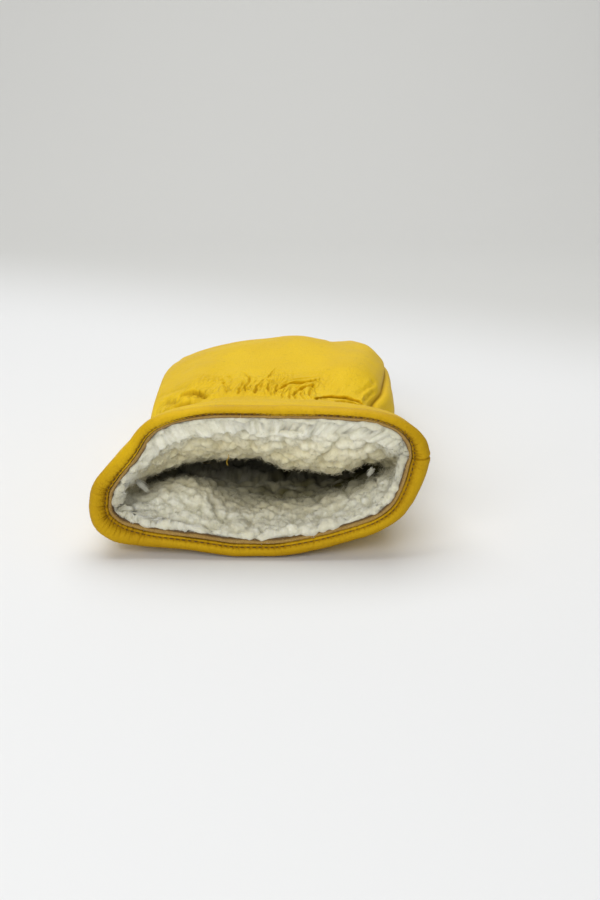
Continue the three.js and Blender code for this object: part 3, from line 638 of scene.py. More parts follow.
def swelling(share, y):
    """The hand's humps and dips on the back."""
    height = np.zeros(np.broadcast(share, y).shape)
    for across, along, wide, front, back, rise in SWELLINGS:
        at = WRIST_AT + along * PALM_LENGTH
        up = hill(at - front * WRIST_AT, at, at, at + back * WRIST_AT, y)
        side = np.abs(share - across) / wide
        height += POUCH_HEIGHT * rise * up * np.where(side < 1, (1 - side * side) ** 2, 0)
    return height


def fold_field(x, y, line):
    """Distance from a fold, positive towards the fingers, and its strength, which fades at its ends."""
    line = np.asarray(line, float)
    far, along = polyline_field(x, y, line)
    order = np.argsort(line[:, 0])
    side = np.sign(y - np.interp(x, line[order, 0], line[order, 1]))
    return far * side, smooth(0, 0.16, along) * smooth(0, 0.16, 1 - along)


def wrist_relief(share, y, base):
    """For the gathers: height, how far folds hang towards the mouth, painted shade in creases and under
    folds, painted highlight on raised ridges, and crinkle.
    """
    wobble = 0.8 * noise(base, 5.0, 3) + 0.7 * noise(base, 1.9, 4)
    wobble_y = 0.8 * noise(base, 5.0, 13) + 0.6 * noise(base, 1.9, 14)
    x = share * BACK_ARC + wobble
    yy = y + wobble_y
    height, hang = swelling(share, y), np.zeros(x.shape)
    cavity, ridge = np.zeros(x.shape), np.zeros(x.shape)
    for at, half, top, reach, rise in PUCKERS:
        side = np.abs(x - at * BACK_ARC) / half
        up = hill(WRIST_AT - 1, top - 3, top, top + reach, yy)
        bump = 1.35 * rise * up * np.where(side < 1, np.cos(0.5 * np.pi * side) ** 2, 0)
        height += bump
        # Painted highlight on the tops of the puckers.
        ridge += 0.4 * bump
    for line, rise, reach, over in FOLDS:
        far, ends = fold_field(x, y + 0.4 * wobble_y, [(a * BACK_ARC, b) for a, b in line])
        behind = smooth(-0.5, 0.9, far) * np.exp(-np.maximum(0, far - 1.5) / reach)
        height += rise * ends * behind
        hang += over * ends * behind * np.exp(-np.maximum(0, far - 1) / (0.7 * reach))
        height -= 0.9 * ends * bell(far + 0.6, 1.1)
        # Painted shade under the fold's lip and a painted highlight along it.
        cavity += 0.35 * ends * bell(far + 0.4, 0.7)
        ridge += 0.6 * ends * bell(far - 1.8, 1.4)
    uneven = noise(base, 2.6, 29) + 0.6 * noise(base, 1.2, 30)
    for line, depth, width, first, last in CREASES:
        far, along = polyline_field(x, yy, [(a * BACK_ARC, b) for a, b in line])
        taper = first + (1 - first) * smooth(0, 0.3, along)
        taper = taper * (last + (1 - last) * smooth(0, 0.3, 1 - along))
        taper = taper * np.clip(0.75 + 0.55 * uneven, 0.15, 1.2)
        groove = bell(far, width)
        shoulder = bell(far - 1.9 * width, width)
        height += depth * taper * (0.42 * shoulder - 0.85 * groove)
        # Painted shade in the crease and a painted highlight on its shoulders.
        cavity += 0.62 * groove ** 1.6 * taper * min(1, depth / 1.1)
        ridge += 0.35 * shoulder * taper * min(1, depth / 1.5)
    # The line of the elastic, the fine ripples along it and the small crackle of the gathered leather.
    line_at = WRIST_AT + 1.5 + 1.2 * np.sin(share * 9)
    gather = bell(y - line_at, 3.0)
    calm = 1 - 0.7 * hill(0.36, 0.44, 0.64, 0.7, share)
    height -= 0.5 * gather * (0.5 + 0.5 * calm)
    ripple = ripples(x, y, 2.9, 13.0, 21) + 0.6 * ripples(x, y, 1.4, 7.0, 22)
    band = hill(52, 64, 80, 98, y)
    height += 0.26 * ripple * band * calm
    # Painted shade in the hollows between the ripples.
    cavity += 0.25 * band * calm * smooth(0.3, 0.9, -ripple)
    first, second = cells(np.stack([x * 1.35, yy * 0.62, 0 * x + 0.5], -1), CRACKLE, 25)
    crack, puffed = fall(0.0, 0.20, second - first), smooth(0.0, 0.75, second - first)
    zone = hill(70, 76, 88, 110, y) * hill(0.1, 0.2, 0.8, 0.9, share)
    zone = zone * smooth(-0.2, 0.5, noise(base, 9.0, 27))
    height += (0.55 * puffed - 0.32 * crack) * zone
    # Painted shade in the cracks.
    cavity += 0.30 * crack * zone
    crinkle = hill(66, 73, 84, 104, y) * hill(0.04, 0.12, 0.88, 0.96, share)
    crinkle = crinkle * smooth(-0.1, 0.6, noise(base, 8.0, 28))
    return height, hang, np.clip(cavity, 0, 1), np.clip(ridge, 0, 1), crinkle


def panel_rows():
    """Where the rows of a panel are, closest at the gathered wrist."""
    tip = TIP_START + TIP_LENGTH * np.sin(np.linspace(0, np.pi / 2 - 0.004, 38)[1:])
    return np.concatenate([np.linspace(7.0, 16, 13), np.linspace(17, 51, 20), np.arange(52, 62, 0.9),
                           np.arange(62.3, 104, 0.42), np.arange(104.5, 113, 0.8),
                           np.linspace(114, TIP_START, 40), tip])


def panel_shares(middle, edge):
    """Where the columns of a panel are, closest at its two seams."""
    seam = 0.028
    s, e = np.linspace(0, 1, middle), seam * np.linspace(0, 1, edge) ** 1.3
    return np.concatenate([e, s[(s > seam + 0.0005) & (s < 1 - seam - 0.0005)], 1 - e[::-1]])


def seam_roll(grid):
    """How far the edges turn in at the two seams, how deep in a seam each point is, and how far from it."""
    step = np.linalg.norm(np.diff(grid, axis=1), axis=-1)
    from_left = np.concatenate([np.zeros((len(grid), 1)), np.cumsum(step, 1)], 1)
    total = from_left[:, -1:]
    edge = np.minimum(from_left, total - from_left)
    strength = smooth(2, 22, total)
    roll = 0.35 * bell(edge - 4.2, 2.6) - 1.5 * bell(edge, 1.5)
    return strength * roll, strength * bell(edge, 0.8), edge


def leather_panel(name, start, end, middle, edge, back):
    """One sheet from the share start(y) to the share end(y) of the skin, with its rim turned in all round."""
    ys = panel_rows()
    share = panel_shares(middle, edge)
    base = np.stack([skin_row(start(y) + (end(y) - start(y)) * share, y) for y in ys])
    normals = outward(base)
    y2, s2 = np.broadcast_arrays(ys[:, None], share)
    hem_dip = -1.5 * fall(7.0, 17.0, y2) - 0.9 * fall(7.0, 9.2, y2)
    roll, deep, edge_far = seam_roll(base)
    inner = smooth(0, 7, edge_far)
    soft = 0.55 * layered(base, 26, 31, 2) + 0.16 * noise(base, 6.5, 35)
    if back:
        height, hang, cavity, ridge, crinkle = wrist_relief(s2, y2, base)
        height, hang, cavity, ridge = height * inner, hang * inner, cavity * inner, ridge * inner
    else:
        gather = bell(y2 - WRIST_AT - 1, 5.0)
        ripple = ripples(s2 * BACK_ARC, y2, 4.0, 26.0, 41)
        height = gather * (0.9 * ripple - 0.5) * inner + 0.5 * inner * ripple * hill(58, 70, 84, 112, y2)
        # Painted shade in the hollows of the wrist's ripples.
        cavity = 0.6 * gather * smooth(0.2, 0.8, -ripple)
        ridge, crinkle = np.zeros_like(height), np.zeros_like(height)
    height = (height + soft * smooth(14, 40, y2) * inner) * smooth(0, 20, LENGTH - y2) + roll + hem_dip
    # Painted shade in the seams and on the band just behind the hem roll.
    cavity = np.clip(cavity + 0.9 * deep + 0.7 * fall(7.2, 9.4, y2), 0, 1)
    points = base + normals * height[..., None]
    if back:
        points[..., 1] -= hang
        points[..., 2] += 0.2
    points = above_floor(points)
    down = -1.3 * np.concatenate([normals[:1], normals], 0)
    points = np.concatenate([points[:1] + down[:1] + np.array([0, 0.4, 0]), points], 0)
    left, right = points[:, :1] + down[:, :1], points[:, -1:] + down[:, -1:]
    points = above_floor(np.concatenate([left, points, right], 1))
    cavity, ridge, crinkle = [np.pad(a, ((1, 0), (1, 1)), "edge") for a in (cavity, ridge, crinkle)]
    # The turned-in rims get full painted shade.
    cavity[0], cavity[:, 0], cavity[:, -1] = 1, 1, 1
    faces = grid_faces(*points.shape[:2])
    return make_mesh(name, points, [faces], back_leather, cavity=cavity, ridge=ridge, crinkle=crinkle)


joined = lambda y: float(OUTER["joined"](y))
piece(leather_panel("leather_back", lambda y: 0.0, joined, 390, 14, True), "back_leather", "back_panel")
piece(leather_panel("leather_palm", joined, lambda y: 2.0, 190, 10, False), "palm_leather", "palm_panel")


def thumb():
    """The thumb's bag: rings along its path, a round end, a seam along it and wrinkles at the crotch."""
    steps, sides = 110, 96
    shares = np.linspace(0, 1, steps + 1)
    size = curve(np.linspace(0, 1, len(THUMB_PATH)), [r[3] for r in THUMB_PATH])(shares)
    side = -float(OUTER["left"](THUMB_CROTCH + 0.4 * THUMB_LENGTH))
    path = catmull([(side + r[0] * THUMB_WIDTH, THUMB_CROTCH + r[1] * THUMB_LENGTH, r[2] * THUMB_HEIGHT)
                    for r in THUMB_PATH], steps)
    along = unit(np.gradient(path, axis=0))
    aside = unit(np.cross(along, [0, 0, 1]))
    up = np.cross(aside, along)
    bend = np.linspace(0, np.pi / 2 - 0.02, 26)[1:]
    reach = 0.4 * THUMB_WIDTH * size[-1] * np.sin(bend)
    path = np.concatenate([path, path[-1] + reach[:, None] * along[-1]])
    size = np.concatenate([size, size[-1] * np.cos(bend)])[:, None, None]
    aside, up = [np.concatenate([a, np.repeat(a[-1:], len(bend), 0)])[:, None] for a in (aside, up)]
    angle = turn(sides)
    base = path[:, None] + size / 2 * (THUMB_WIDTH * np.cos(angle)[:, None] * aside
                                       + THUMB_HEIGHT * np.sin(angle)[:, None] * up)
    normals = facing(outward(base, True), base - base.mean(1, keepdims=True))
    seam = bell((((angle - 0.35 + np.pi) % (2 * np.pi)) - np.pi) * 14, 1.6)
    crotch = bell(np.arange(len(base)) / steps - 0.2, 0.13)[:, None]
    wrinkles = noise(np.stack([base[..., 1] / 2.6, base[..., 0] / 11, base[..., 2] / 11], -1), 1.0, 53)
    height = 0.4 * layered(base, 18, 51, 2) - 0.7 * seam + 0.7 * crotch * wrinkles
    points = above_floor(base + normals * (height - 0.4)[..., None])
    # Painted shade along the seam.
    cavity = np.append(np.tile(0.8 * seam, len(base)), 0)
    fan = fan_faces((len(points) - 1) * sides, sides, len(points) * sides)
    every = np.vstack([points.reshape(-1, 3), points[-1].mean(0)])
    faces = [grid_faces(len(points), sides, False, True), fan]
    return make_mesh("leather_thumb", every, faces, back_leather, cavity=cavity)


piece(thumb(), "thumb_leather", "thumb")

# Shares round the mouth, its outward directions, and the way round it in mm.
ring_w = np.linspace(0, 2, 1300, endpoint=False)
rim_line = skin_row(ring_w, 0)
ring_round = np.roll(rim_line, -1, 0) - np.roll(rim_line, 1, 0)
ring_out = unit(np.stack([-ring_round[:, 2], 0 * ring_w, ring_round[:, 0]], 1))
ring_s = np.concatenate([[0], np.cumsum(np.linalg.norm(np.diff(rim_line, axis=0), axis=1))])
ring_length = ring_s[-1] + np.linalg.norm(rim_line[0] - rim_line[-1])
s_right = float(np.interp(1.0, ring_w, ring_s))
roll_width = curve(*zip(*ROLL_WIDTH))


def on_ring(values, w):
    """Points given for ring_w, read at the shares w."""
    return np.stack([np.interp(w, np.append(ring_w, 2.0), np.append(v, v[0])) for v in values.T], -1)


def evened(values, wide, reach):
    """A row of values round the mouth, each averaged with its neighbours."""
    shares = [(k, math.exp(-(k / wide) ** 2 / 2)) for k in range(-reach, reach + 1)]
    total = sum(share for k, share in shares)
    return sum(share / total * np.roll(values, k, 0) for k, share in shares)


def rings_at(sections, w=ring_w, scaled=False):
    """Rings of the mouth for each (inset, back), at the shares w. They move with the width of the roll."""
    rows = []
    width = roll_width(ring_w)[:, None]
    near = bell(np.minimum(ring_w, 2 - ring_w), 0.06) + bell(ring_w - 1, 0.05)
    for inset, back in sections:
        inward = inset * width / ROLL if scaled else inset + width - ROLL
        p = skin_row(ring_w, max(0.0, back)) - ring_out * inward
        p[:, 1] += min(0.0, back)
        p += near[:, None] * (evened(p, 11, 30) - p)
        rows.append(on_ring(p, w))
    return np.stack(rows, 1)


def around(s, centre):
    """Distance along the mouth from a place given in mm round it."""
    far = np.abs(s - centre)
    return np.minimum(far, ring_length - far)


def cross_creases(seed, pitch):
    """Irregular creases across the roll: place, strength, width, lean and length of each."""
    rng = np.random.default_rng(seed)
    place, made = 0.0, []
    while place < ring_length - pitch * 0.6:
        drawn = [rng.uniform(a, b) for a, b in ((0.25, 1.0), (0.22, 0.5), (-1, 1), (0.35, 1.0))]
        made.append((place, *drawn))
        place += pitch * rng.uniform(0.5, 1.5)
    return made


# The way from one stitch to the next.
STITCH = 2.6
# The hem's section: inset from the rim, and way back from the mouth.
PROFILE = catmull([(3.2, 12), (3.1, 8.8), (2.7, 7.4), (2.1, 6.5), (1.3, 5.6), (0.9, 4.4), (0.85, 3.1),
                   (1.1, 1.6), (1.8, 0.3), (2.9, -0.5), (4.1, -0.7), (5.1, -0.3), (5.6, 0.35), (5.85, 0.95),
                   (6.15, 0.85), (6.5, 0.95), (6.75, 1.5), (6.85, 2.6), (7, 5), (7, 12)], 66)


def hem():
    """The rolled edge: swollen at its ends, creased across, notched by the stitches, with one seam."""
    base = rings_at(PROFILE, scaled=True)
    s, inset, back = np.broadcast_arrays(ring_s[:, None], PROFILE[:, 0], PROFILE[:, 1])
    step = np.roll(base, -1, 0) - np.roll(base, 1, 0)
    normals = unit(np.cross(np.gradient(base, axis=1), step))
    normals = facing(normals, base - rings_at([(3.8, 4.0)], scaled=True))
    front, shown = smooth(8.0, 3.0, back), back < 5
    height = 0.28 * layered(base, 14, 61, 2) + 0.10 * noise(base, 3.2, 65)
    for centre, wide, rise in ((0.0, 26, 1.25), (s_right, 15, 1.25), (ring_length - 17, 13, 1.5)):
        height = height + rise * bell(around(s, centre), wide) * smooth(5.5, 2, inset)
    # Painted shade: the sides and the underside of the roll, which face away from the overhead lamp, are
    # darker than its top, and so is the front near the stitches.
    top = hill(0.05, 0.2, 0.8, 0.93, ring_w)[:, None]
    below = hill(1.08, 1.3, 1.78, 1.92, ring_w)[:, None]
    beside = np.clip(1 - top - below, 0, 1)
    cavity = (0.25 * smooth(4.4, 5.8, inset) * (inset < 6.05) + beside * (0.5 + 0.3 * smooth(3.5, 6.5, inset))
              + below * (0.30 + 0.65 * smooth(5.0, 1.5, inset))) * shown
    stitched = bell(inset - 5.88, 0.30) * shown + smooth(6.6, 6.85, inset)
    nick = (1 - np.abs(np.sin(np.pi * s / STITCH))) ** 2
    height -= bell(inset - 5.6, 0.9) * shown * 0.25 * nick
    # Painted shade along the stitch line and its inner edge, in the stitch holes, and in the gap behind the
    # roll.
    cavity += 0.85 * stitched + 0.5 * nick * bell(inset - 5.6, 0.6) * shown
    cavity += 0.8 * bell(back - 7.0, 1.0) * (inset < 3.2)
    tight = (0.75 * bell(around(s, 0.0), 26) + 1.1 * bell(around(s, ring_length - 14), 15)
             + 0.7 * bell(around(s, s_right - 11), 13) + 0.42)
    sway = 0.35 * noise(base, 3.0, 73)
    for place, strength, width, lean, length in cross_creases(71, 1.9):
        far = np.abs(s - place - lean * 0.35 * (inset - 3.5) - sway)
        far = np.minimum(far, ring_length - far)
        reach = smooth(6.8 - 5.6 * length, 6.6 - 2.6 * length, inset) * front + 0.25 * front
        cut = np.where(far < 3, bell(far, width), 0) * reach * strength * np.minimum(1.6, tight)
        height -= 0.30 * cut
        # Painted shade in the crease.
        cavity += 0.38 * cut
    seam_far = s - s_right - 0.25 * (inset - 3)
    seam = bell(seam_far, 0.45) * front
    height += front * (0.16 * bell(seam_far + 1.3, 0.8) + 0.15 * bell(seam_far - 1.5, 1.0)) - 0.6 * seam
    # Painted shade in the seam.
    cavity = np.clip(cavity + 0.8 * seam, 0, 1)
    points = above_floor(base + normals * height[..., None])
    # Painted highlight along the front of the roll.
    ridge = np.clip(0.4 * bell(inset - 2.5, 2.0) * front, 0, 1)
    faces = grid_faces(*points.shape[:2], True, True)
    return make_mesh("leather_hem", points, [faces], hem_leather, cavity=cavity, ridge=ridge)


piece(hem(), "hem_leather", "cuff_hem")


RAW_PROFILE = [(6.7, 4.4), (6.8, 2.9), (6.95, 2.1), (7.25, 1.75), (7.7, 1.85), (8.15, 2.25), (8.5, 2.8),
               (8.7, 3.4), (8.7, 4.2), (8.3, 5.0), (7.5, 5.0)]


def raw_edge():
    """The cut edge of the leather inside the stitches, uneven and drawn in between them."""
    base = rings_at(RAW_PROFILE)
    inset = np.array(RAW_PROFILE)[:, 0] + 0 * base[..., 0]
    wave = 0.35 * layered(base, 9, 81, 3) + 0.12 * noise(base, 1.2, 84)
    points = base.copy()
    points[..., 1] -= wave + 0.18 * (0.5 - np.abs(np.sin(np.pi * ring_s / STITCH)))[:, None]
    points -= ring_out[:, None, :] * (0.30 * noise(base, 4.0, 86) * (inset > 8))[..., None]
    # Painted shade in the gaps at both edges of the strip, against the hem and against the pile.
    cavity = np.clip(0.8 - 0.8 * smooth(6.75, 7.1, inset) + 0.85 * smooth(8.0, 8.6, inset), 0, 1)
    faces = grid_faces(*points.shape[:2], True, True)
    return make_mesh("leather_raw_edge", above_floor(points), [faces], raw_look, cavity=cavity)


piece(raw_edge(), "raw_leather", "hem_turn_in")


def stitches(name, inset, back, length, thick, face_out, material, seed):
    """A row of single stitches round the mouth, each a short thread that bows out of the leather."""
    rng = np.random.default_rng(seed)
    count, sides, rings = int(round(ring_length / STITCH)), 7, 7
    t = np.linspace(-1, 1, rings)
    middles = (np.arange(count) + 0.5) * ring_length / count
    places = middles[:, None] + 0.5 * length * t[None, :] * rng.uniform(0.85, 1.1, (count, 1))
    flat = np.mod(places.ravel(), ring_length)
    w = np.interp(flat, np.append(ring_s, ring_length), np.append(ring_w, 2.0))
    out = on_ring(ring_out, w).reshape(count, rings, 3)
    line = rings_at([(inset, back)], w, scaled=True)[:, 0].reshape(count, rings, 3)
    above = out if face_out else np.broadcast_to(np.array([0.0, -1.0, 0.0]), out.shape)
    across = unit(np.cross(unit(np.gradient(line, axis=1)), above))
    radius = thick * 0.5 * np.sqrt(np.maximum(0.05, 1 - np.abs(t) ** 3.0))
    line = line + above * (thick * (0.5 * (1 - t * t) - 0.25))[None, :, None]
    angle = turn(sides)[:, None]
    points = line[:, :, None] + radius[:, None, None] * (np.cos(angle) * across[:, :, None]
                                                         + np.sin(angle) * above[:, :, None])
    starts = np.arange(count)[:, None, None] * rings * sides
    quads = (grid_faces(rings, sides, False, True)[None] + starts).reshape(-1, 4)
    caps = np.array([range(sides)[::-1], range((rings - 1) * sides, rings * sides)])
    ends = (caps[None] + starts).reshape(-1, sides)
    return make_mesh(name, above_floor(points), [quads, ends], material)


piece(stitches("stitches_hem_inner", 5.9, 0.72, 1.6, 0.42, False, dark_thread, 91), "hem_leather")
piece(stitches("stitches_hem_outer", 2.3, 7.0, 1.5, 0.55, True, tan_thread, 92), "hem_leather")


def pile_hollow_shade(p, under):
    """How much painted shade the pile gets deep in the hollow: it darkens sooner on the palm side, and more
    to the right.
    """
    right = smooth(-30, 20, p[..., 0])
    start, full = np.where(under, 23 - 3 * right, 28), np.where(under, 52 - 4 * right, 60)
    uneven = 0.9 + 0.22 * noise(p, 5.0, 191)
    return (0.66 + 0.31 * right) * uneven * smooth(0, 1, (p[..., 1] - start) / (full - start))


def pile_warmth(p, under):
    """How much yellow the leather throws back into the pile: most under the roof."""
    return np.where(under, 0.5 * smooth(15, 32, p[..., 1]), 0.8 * smooth(6, 20, p[..., 1]))


PILE_EDGE = [(8.2, 5.8), (8.0, 4.9), (8.1, 4.2), (8.6, 3.8), (9.3, 3.9), (9.9, 4.7), (10.4, 5.8)]


def pile():
    """The lining: its edge behind the raw leather, the hanging roof, the crest below, and lumps all over."""
    columns, lump_size, curl_size = 560, 4.4, 2.0
    w = np.linspace(0, 2, columns, endpoint=False)
    rim_out = on_ring(ring_out, w)
    hidden = np.moveaxis(rings_at(PILE_EDGE, w), 1, 0)
    end = LENGTH - LEATHER - 1.2 - PILE
    ys = np.concatenate([np.arange(7.0, 24, 0.34), np.arange(24, 50, 0.62), np.arange(50.5, 62, 1.0),
                         np.linspace(63, 150, 22), np.linspace(156, 254, 14)])
    ys = ys[ys < end - 0.5]
    base = np.stack([skin_row(w, y, hollow_sizes, end) for y in ys])
    roof = (w > 0) & (w < 1)
    lip, crest = skin_row(w, LIP_AT, hollow_sizes, end), skin_row(w, CREST_AT, hollow_sizes, end)
    drop = lip[:, 2] - np.interp(lip[:, 0], *zip(*LIP))
    drop = np.where(roof, np.maximum(0, drop), 0) * hill(0, 0.04, 0.93, 1, w)
    rise = np.interp(crest[:, 0], *zip(*CREST)) - 1.5 - crest[:, 2]
    rise = np.where(roof, 0, np.maximum(0, rise)) * hill(1, 1.07, 1.97, 2, w)
    base[..., 2] -= evened(drop, 7, 20)[None, :] * hill(3, 20, 30, 66, ys)[:, None]
    base[..., 2] += evened(rise, 7, 20)[None, :] * hill(5, 24, 32, 70, ys)[:, None]
    moved = (ROLL - roll_width(w))[None, :] * fall(6, 28, ys)[:, None]
    corner = bell(w - 1, 0.10) + bell(np.minimum(w, 2 - w), 0.12)
    moved = moved + 1.6 * corner[None, :] * hill(4.5, 9, 16, 40, ys)[:, None]
    base = np.concatenate([hidden, base + rim_out[None] * moved[..., None]], 0)
    band = hill(0, 4, 7, 15, np.arange(len(base)))[:, None]
    ragged = noise(base, 3.6, 181) + 0.5 * noise(base, 1.8, 182)
    base = base - rim_out[None] * ((0.9 + 0.9 * corner) * band * ragged)[..., None]
    normals = facing(outward(base, True), base.mean(1, keepdims=True) - base)
    warp, warp_fine = 1.2 * noise_xyz(base, 7.0, 101), 0.35 * noise_xyz(base, 1.7, 111)
    far, tall = soft_cells(base * np.array([0.84, 1.0, 1.06]) + warp + warp_fine, lump_size, 121, 17.0)
    lump = np.sqrt(np.clip(1 - (far / 0.70) ** 2, 0, 1))
    near, other = soft_cells(base + warp * 0.5 + warp_fine * 1.5, curl_size, 131, 9.0)
    small = np.sqrt(np.clip(1 - (near / 0.8) ** 2, 0, 1)) * (1 + (0.9 + 1.2 * corner) * band)
    height = (2.7 * lump * (0.75 + 0.5 * tall) + 0.32 * small * (0.5 + other)
              + 0.9 * layered(base, 12, 141, 2) + 0.16 * noise(base, 0.8, 145))
    free = np.concatenate([[0, 0.25, 0.6, 0.85], np.ones(len(base) - 4)])[:, None]
    points = base + normals * ((height - 1.6) * free)[..., None]
    # Painted shade between the lumps and on the rim rows tucked behind the raw edge, and below, painted shade
    # deep in the hollow and at the mouth's corners.
    cavity = np.clip(1 - (0.85 * smooth(0.1, 0.75, lump) + 0.15 * smooth(0.2, 0.8, small)), 0, 1)
    cavity[:7] = np.maximum(cavity[:7], np.array([1, 1, 1, 0.9, 0.7, 0.5, 0.3])[:, None])
    depth = np.clip(pile_hollow_shade(base, ~roof) + 0.26 * corner, 0, 1)
    fan = fan_faces((len(points) - 1) * columns, columns, len(points) * columns)[:, [1, 0, 2]]
    every = np.vstack([points.reshape(-1, 3), points[-1].mean(0) + np.array([0, 1.5, 0])])
    faces = [grid_faces(len(points), columns, False, True, flip=True), fan]
    made = make_mesh("pile_lining", every, faces, pile_look, cavity=np.append(cavity, 0),
                     depth=np.append(depth, 0.9), warmth=np.append(pile_warmth(base, ~roof), 0.5))
    return made, points, normals


def sweep(line, thick, sides=3):
    """Tubes along many lines at once, closed to a tip: (count, steps, 3) points and (count, steps) radii."""
    count, rings = line.shape[0], line.shape[1] - 1
    along = unit(np.gradient(line, axis=1))
    aside = unit(np.cross(along, [0.31, 0.57, 0.76]))
    upright = np.cross(aside, along)
    angle = turn(sides)[:, None]
    body = line[:, :rings, None] + thick[:, :rings, None, None] * (np.cos(angle) * aside[:, :rings, None]
                                                                   + np.sin(angle) * upright[:, :rings, None])
    every = np.concatenate([body.reshape(count, rings * sides, 3), line[:, rings:]], 1).reshape(-1, 3)
    each = rings * sides + 1
    begin = np.arange(count)[:, None, None] * each
    walls = (grid_faces(rings, sides, False, True)[None] + begin).reshape(-1, 4)
    tips = (fan_faces((rings - 1) * sides, sides, each - 1)[None] + begin).reshape(-1, 3)
    foot = (np.arange(sides)[::-1][None, None] + begin).reshape(-1, sides)
    return above_floor(every), [walls, tips, foot], each


def fibres(points, normals):
    """Fine curled fibres that stand on the pile and lean together."""
    rng = np.random.default_rng(251)
    count, rings = 7000, 5
    rows = rng.integers(2, 88, count)
    columns = rng.integers(0, points.shape[1], count)
    root, up = points[rows, columns], normals[rows, columns]
    lean = noise_xyz(root, 4.0, 261) + 0.30 * rng.normal(size=(count, 3))
    lean = lean - up * np.sum(lean * up, 1, keepdims=True)
    lean /= np.maximum(0.3, np.linalg.norm(lean, axis=1, keepdims=True))
    curl = np.cross(lean, up) * np.where(rng.random(count) < 0.5, -1, 1)[:, None]
    curl = curl + 0.3 * rng.normal(size=(count, 3))
    size = rng.uniform(1.4, 3.0, count)[:, None, None]
    t = np.linspace(0, 1, rings + 1)
    bend = t[None, :, None]
    line = root[:, None] + size * (0.42 * up[:, None] * np.sin(0.8 * np.pi * bend)
                                   + 0.62 * lean[:, None] * bend
                                   + 0.50 * curl[:, None] * (1 - np.cos(1.25 * np.pi * bend)) / 2)
    thick = rng.uniform(0.06, 0.12, count)[:, None] * (1 - t[None, :]) ** 0.5
    every, faces, each = sweep(line, thick)
    under = columns > points.shape[1] // 2
    deep = np.repeat(pile_hollow_shade(root, under), each)
    shade = np.tile(np.append(np.repeat(0.4 * (1 - t[:rings]), 3), 0), count)
    return make_mesh("pile_fibres", every, faces, pile_look, cavity=shade, depth=deep,
                     warmth=np.repeat(pile_warmth(root, under), each))


def tufts():
    """Two loose tufts of the lining: where each starts and ends, how wide it spreads, and its strands."""
    rng = np.random.default_rng(351)
    t = np.linspace(0, 1, 7)
    lines, thicks = [], []
    for start, end, spread, count in (((-54, 13.5, 29.5), (-49.6, 12.5, 25.2), 0.9, 90),
                                      ((49.0, 20, 32.6), (47.2, 19.4, 30.2), 0.6, 110)):
        a = np.array(start) + 0.5 * rng.normal(size=(count, 3))
        c = np.array(end) + spread * 0.7 * rng.normal(size=(count, 3))
        b = (a + c) / 2 + spread * rng.normal(size=(count, 3))
        q = t[None, :, None]
        lines.append(a[:, None] * (1 - q) ** 2 + 2 * b[:, None] * q * (1 - q) + c[:, None] * q ** 2)
        thicks.append(rng.uniform(0.08, 0.18, count)[:, None] * (1 - 0.8 * t[None, :]))
    every, faces, _ = sweep(np.concatenate(lines), np.concatenate(thicks))
    return make_mesh("pile_tufts", every, faces, pile_look, cavity=0 * every[:, 0], depth=0 * every[:, 0])


def loose_thread():
    t = np.linspace(0, 1, 12)
    x = -14.2 - 0.6 * np.sin(2.4 * t) + 0.3 * np.sin(7 * t)
    line = np.stack([x, 18.6 - 0.5 * t, 40.2 - 5.2 * t], -1)[None]
    every, faces, _ = sweep(line, np.full((1, 12), 0.17), 6)
    return make_mesh("loose_thread", every, faces, yellow_thread)


lining, pile_points, pile_normals = pile()
piece(lining, "pile", "lining")
piece(fibres(pile_points, pile_normals), "pile")
piece(tufts(), "pile")
piece(loose_thread(), "hem_leather")

# The far paper colour is painted shade.
PAPER, PAPER_FAR_SHADE = (0.81, 0.815, 0.815, 1), (0.655, 0.655, 0.635, 1)


def stage_material():
    """Pale paper with painted shade: it turns a little greyer towards the back and to the right."""
    s = Shader("studio_paper")
    place = s.add("TexCoord", out=3)
    aside, deep = [s.add("SeparateXYZ", out=axis, Vector=place) for axis in (0, 1)]
    base = s.blend(s.span(s.plus(deep, s.times(aside, 0.5)), 0.20, 0.50), PAPER, PAPER_FAR_SHADE)
    return s.finish(None, 0, **{"Base Color": base, "Roughness": 0.8, "Specular IOR Level": 0.2})


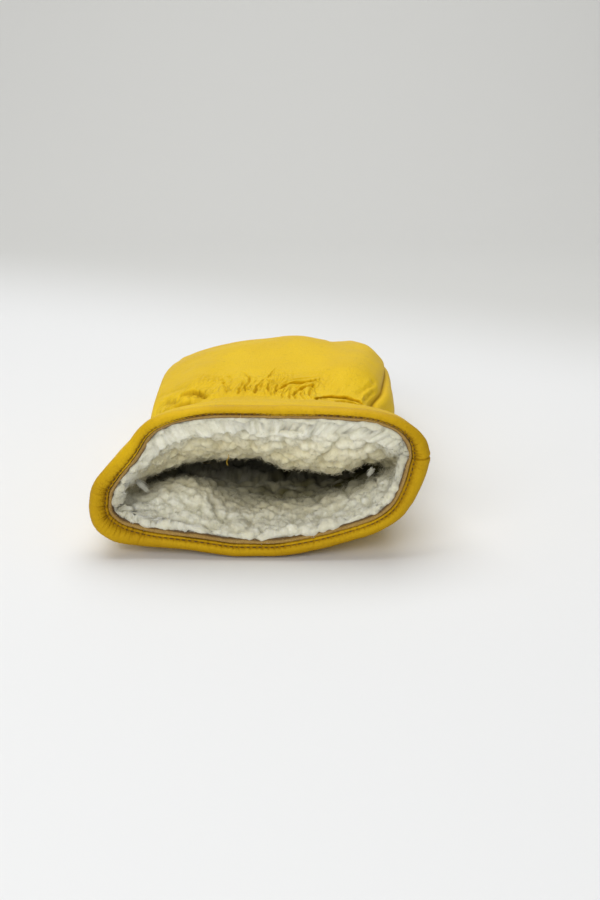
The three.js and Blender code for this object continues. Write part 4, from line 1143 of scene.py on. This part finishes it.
def studio():
    """A floor that curves up into a backdrop."""
    half, radius, start, top = 5.0, 0.55, 0.62, 1.5
    line = [(-half, 0.0), (start, 0.0)]
    for a in np.linspace(0, np.pi / 2, 28)[1:]:
        line.append((start + radius * math.sin(a), radius - radius * math.cos(a)))
    line.append((start + radius, top))
    mesh = bpy.data.meshes.new("studio_floor")
    mesh.from_pydata([(x, y, z) for y, z in line for x in (-half, half)], [],
                     [(2 * i, 2 * i + 1, 2 * i + 3, 2 * i + 2) for i in range(len(line) - 1)])
    mesh.polygons.foreach_set("use_smooth", np.ones(len(mesh.polygons), bool))
    mesh.materials.append(stage_material())
    linked("studio_floor", mesh)


def area_light(name, place, aim, width, height, power):
    data = bpy.data.lights.new(name, "AREA")
    data.shape, data.size, data.size_y, data.energy = "RECTANGLE", width, height, power
    lamp = linked(name, data)
    lamp.location = place
    lamp.rotation_mode = "QUATERNION"
    lamp.rotation_quaternion = (Vector(aim) - Vector(place)).to_track_quat("-Z", "Y")


def air(strength):
    world = bpy.data.worlds.new("studio_air")
    bpy.context.scene.world = world
    world.use_nodes = True
    background = world.node_tree.nodes["Background"]
    background.inputs["Color"].default_value = (1, 1, 1, 1)
    background.inputs["Strength"].default_value = strength


# The picture is 900 pixels high. The focal length is in its pixels, and the aim is 32 of them off the middle.
PICTURE_HEIGHT, FOCAL, OFF_MIDDLE, SENSOR = 900, 1364, 32, 36
# The camera looks down by TILT degrees at AIM, on the mouth, from DISTANCE away, in mm.
TILT, DISTANCE, AIM = 20, 583, (17.1, 0, 34.1)


def photo_camera():
    data = bpy.data.cameras.new("camera")
    data.sensor_width = SENSOR
    data.lens = FOCAL / PICTURE_HEIGHT * SENSOR
    data.clip_start, data.clip_end = 0.02, 20
    camera = linked("camera", data)
    tilt = math.radians(TILT)
    place = np.array(AIM) + DISTANCE * np.array([0, -math.cos(tilt), math.sin(tilt)])
    camera.location = (place + SHIFT) / 1000
    camera.rotation_euler = (math.radians(90 - TILT) + math.atan(OFF_MIDDLE / FOCAL), 0, 0)
    bpy.context.scene.camera = camera


studio()
area_light("overhead", (-0.1, 0.25, 1.25), (0, 0.0, 0), 1.5, 1.1, 13.9)
area_light("front_fill", (-0.35, -1.35, 0.78), (0, -0.1, 0.03), 1.3, 0.7, 11.8)
air(0.23)
photo_camera()
bpy.context.scene.view_settings.view_transform = "Standard"
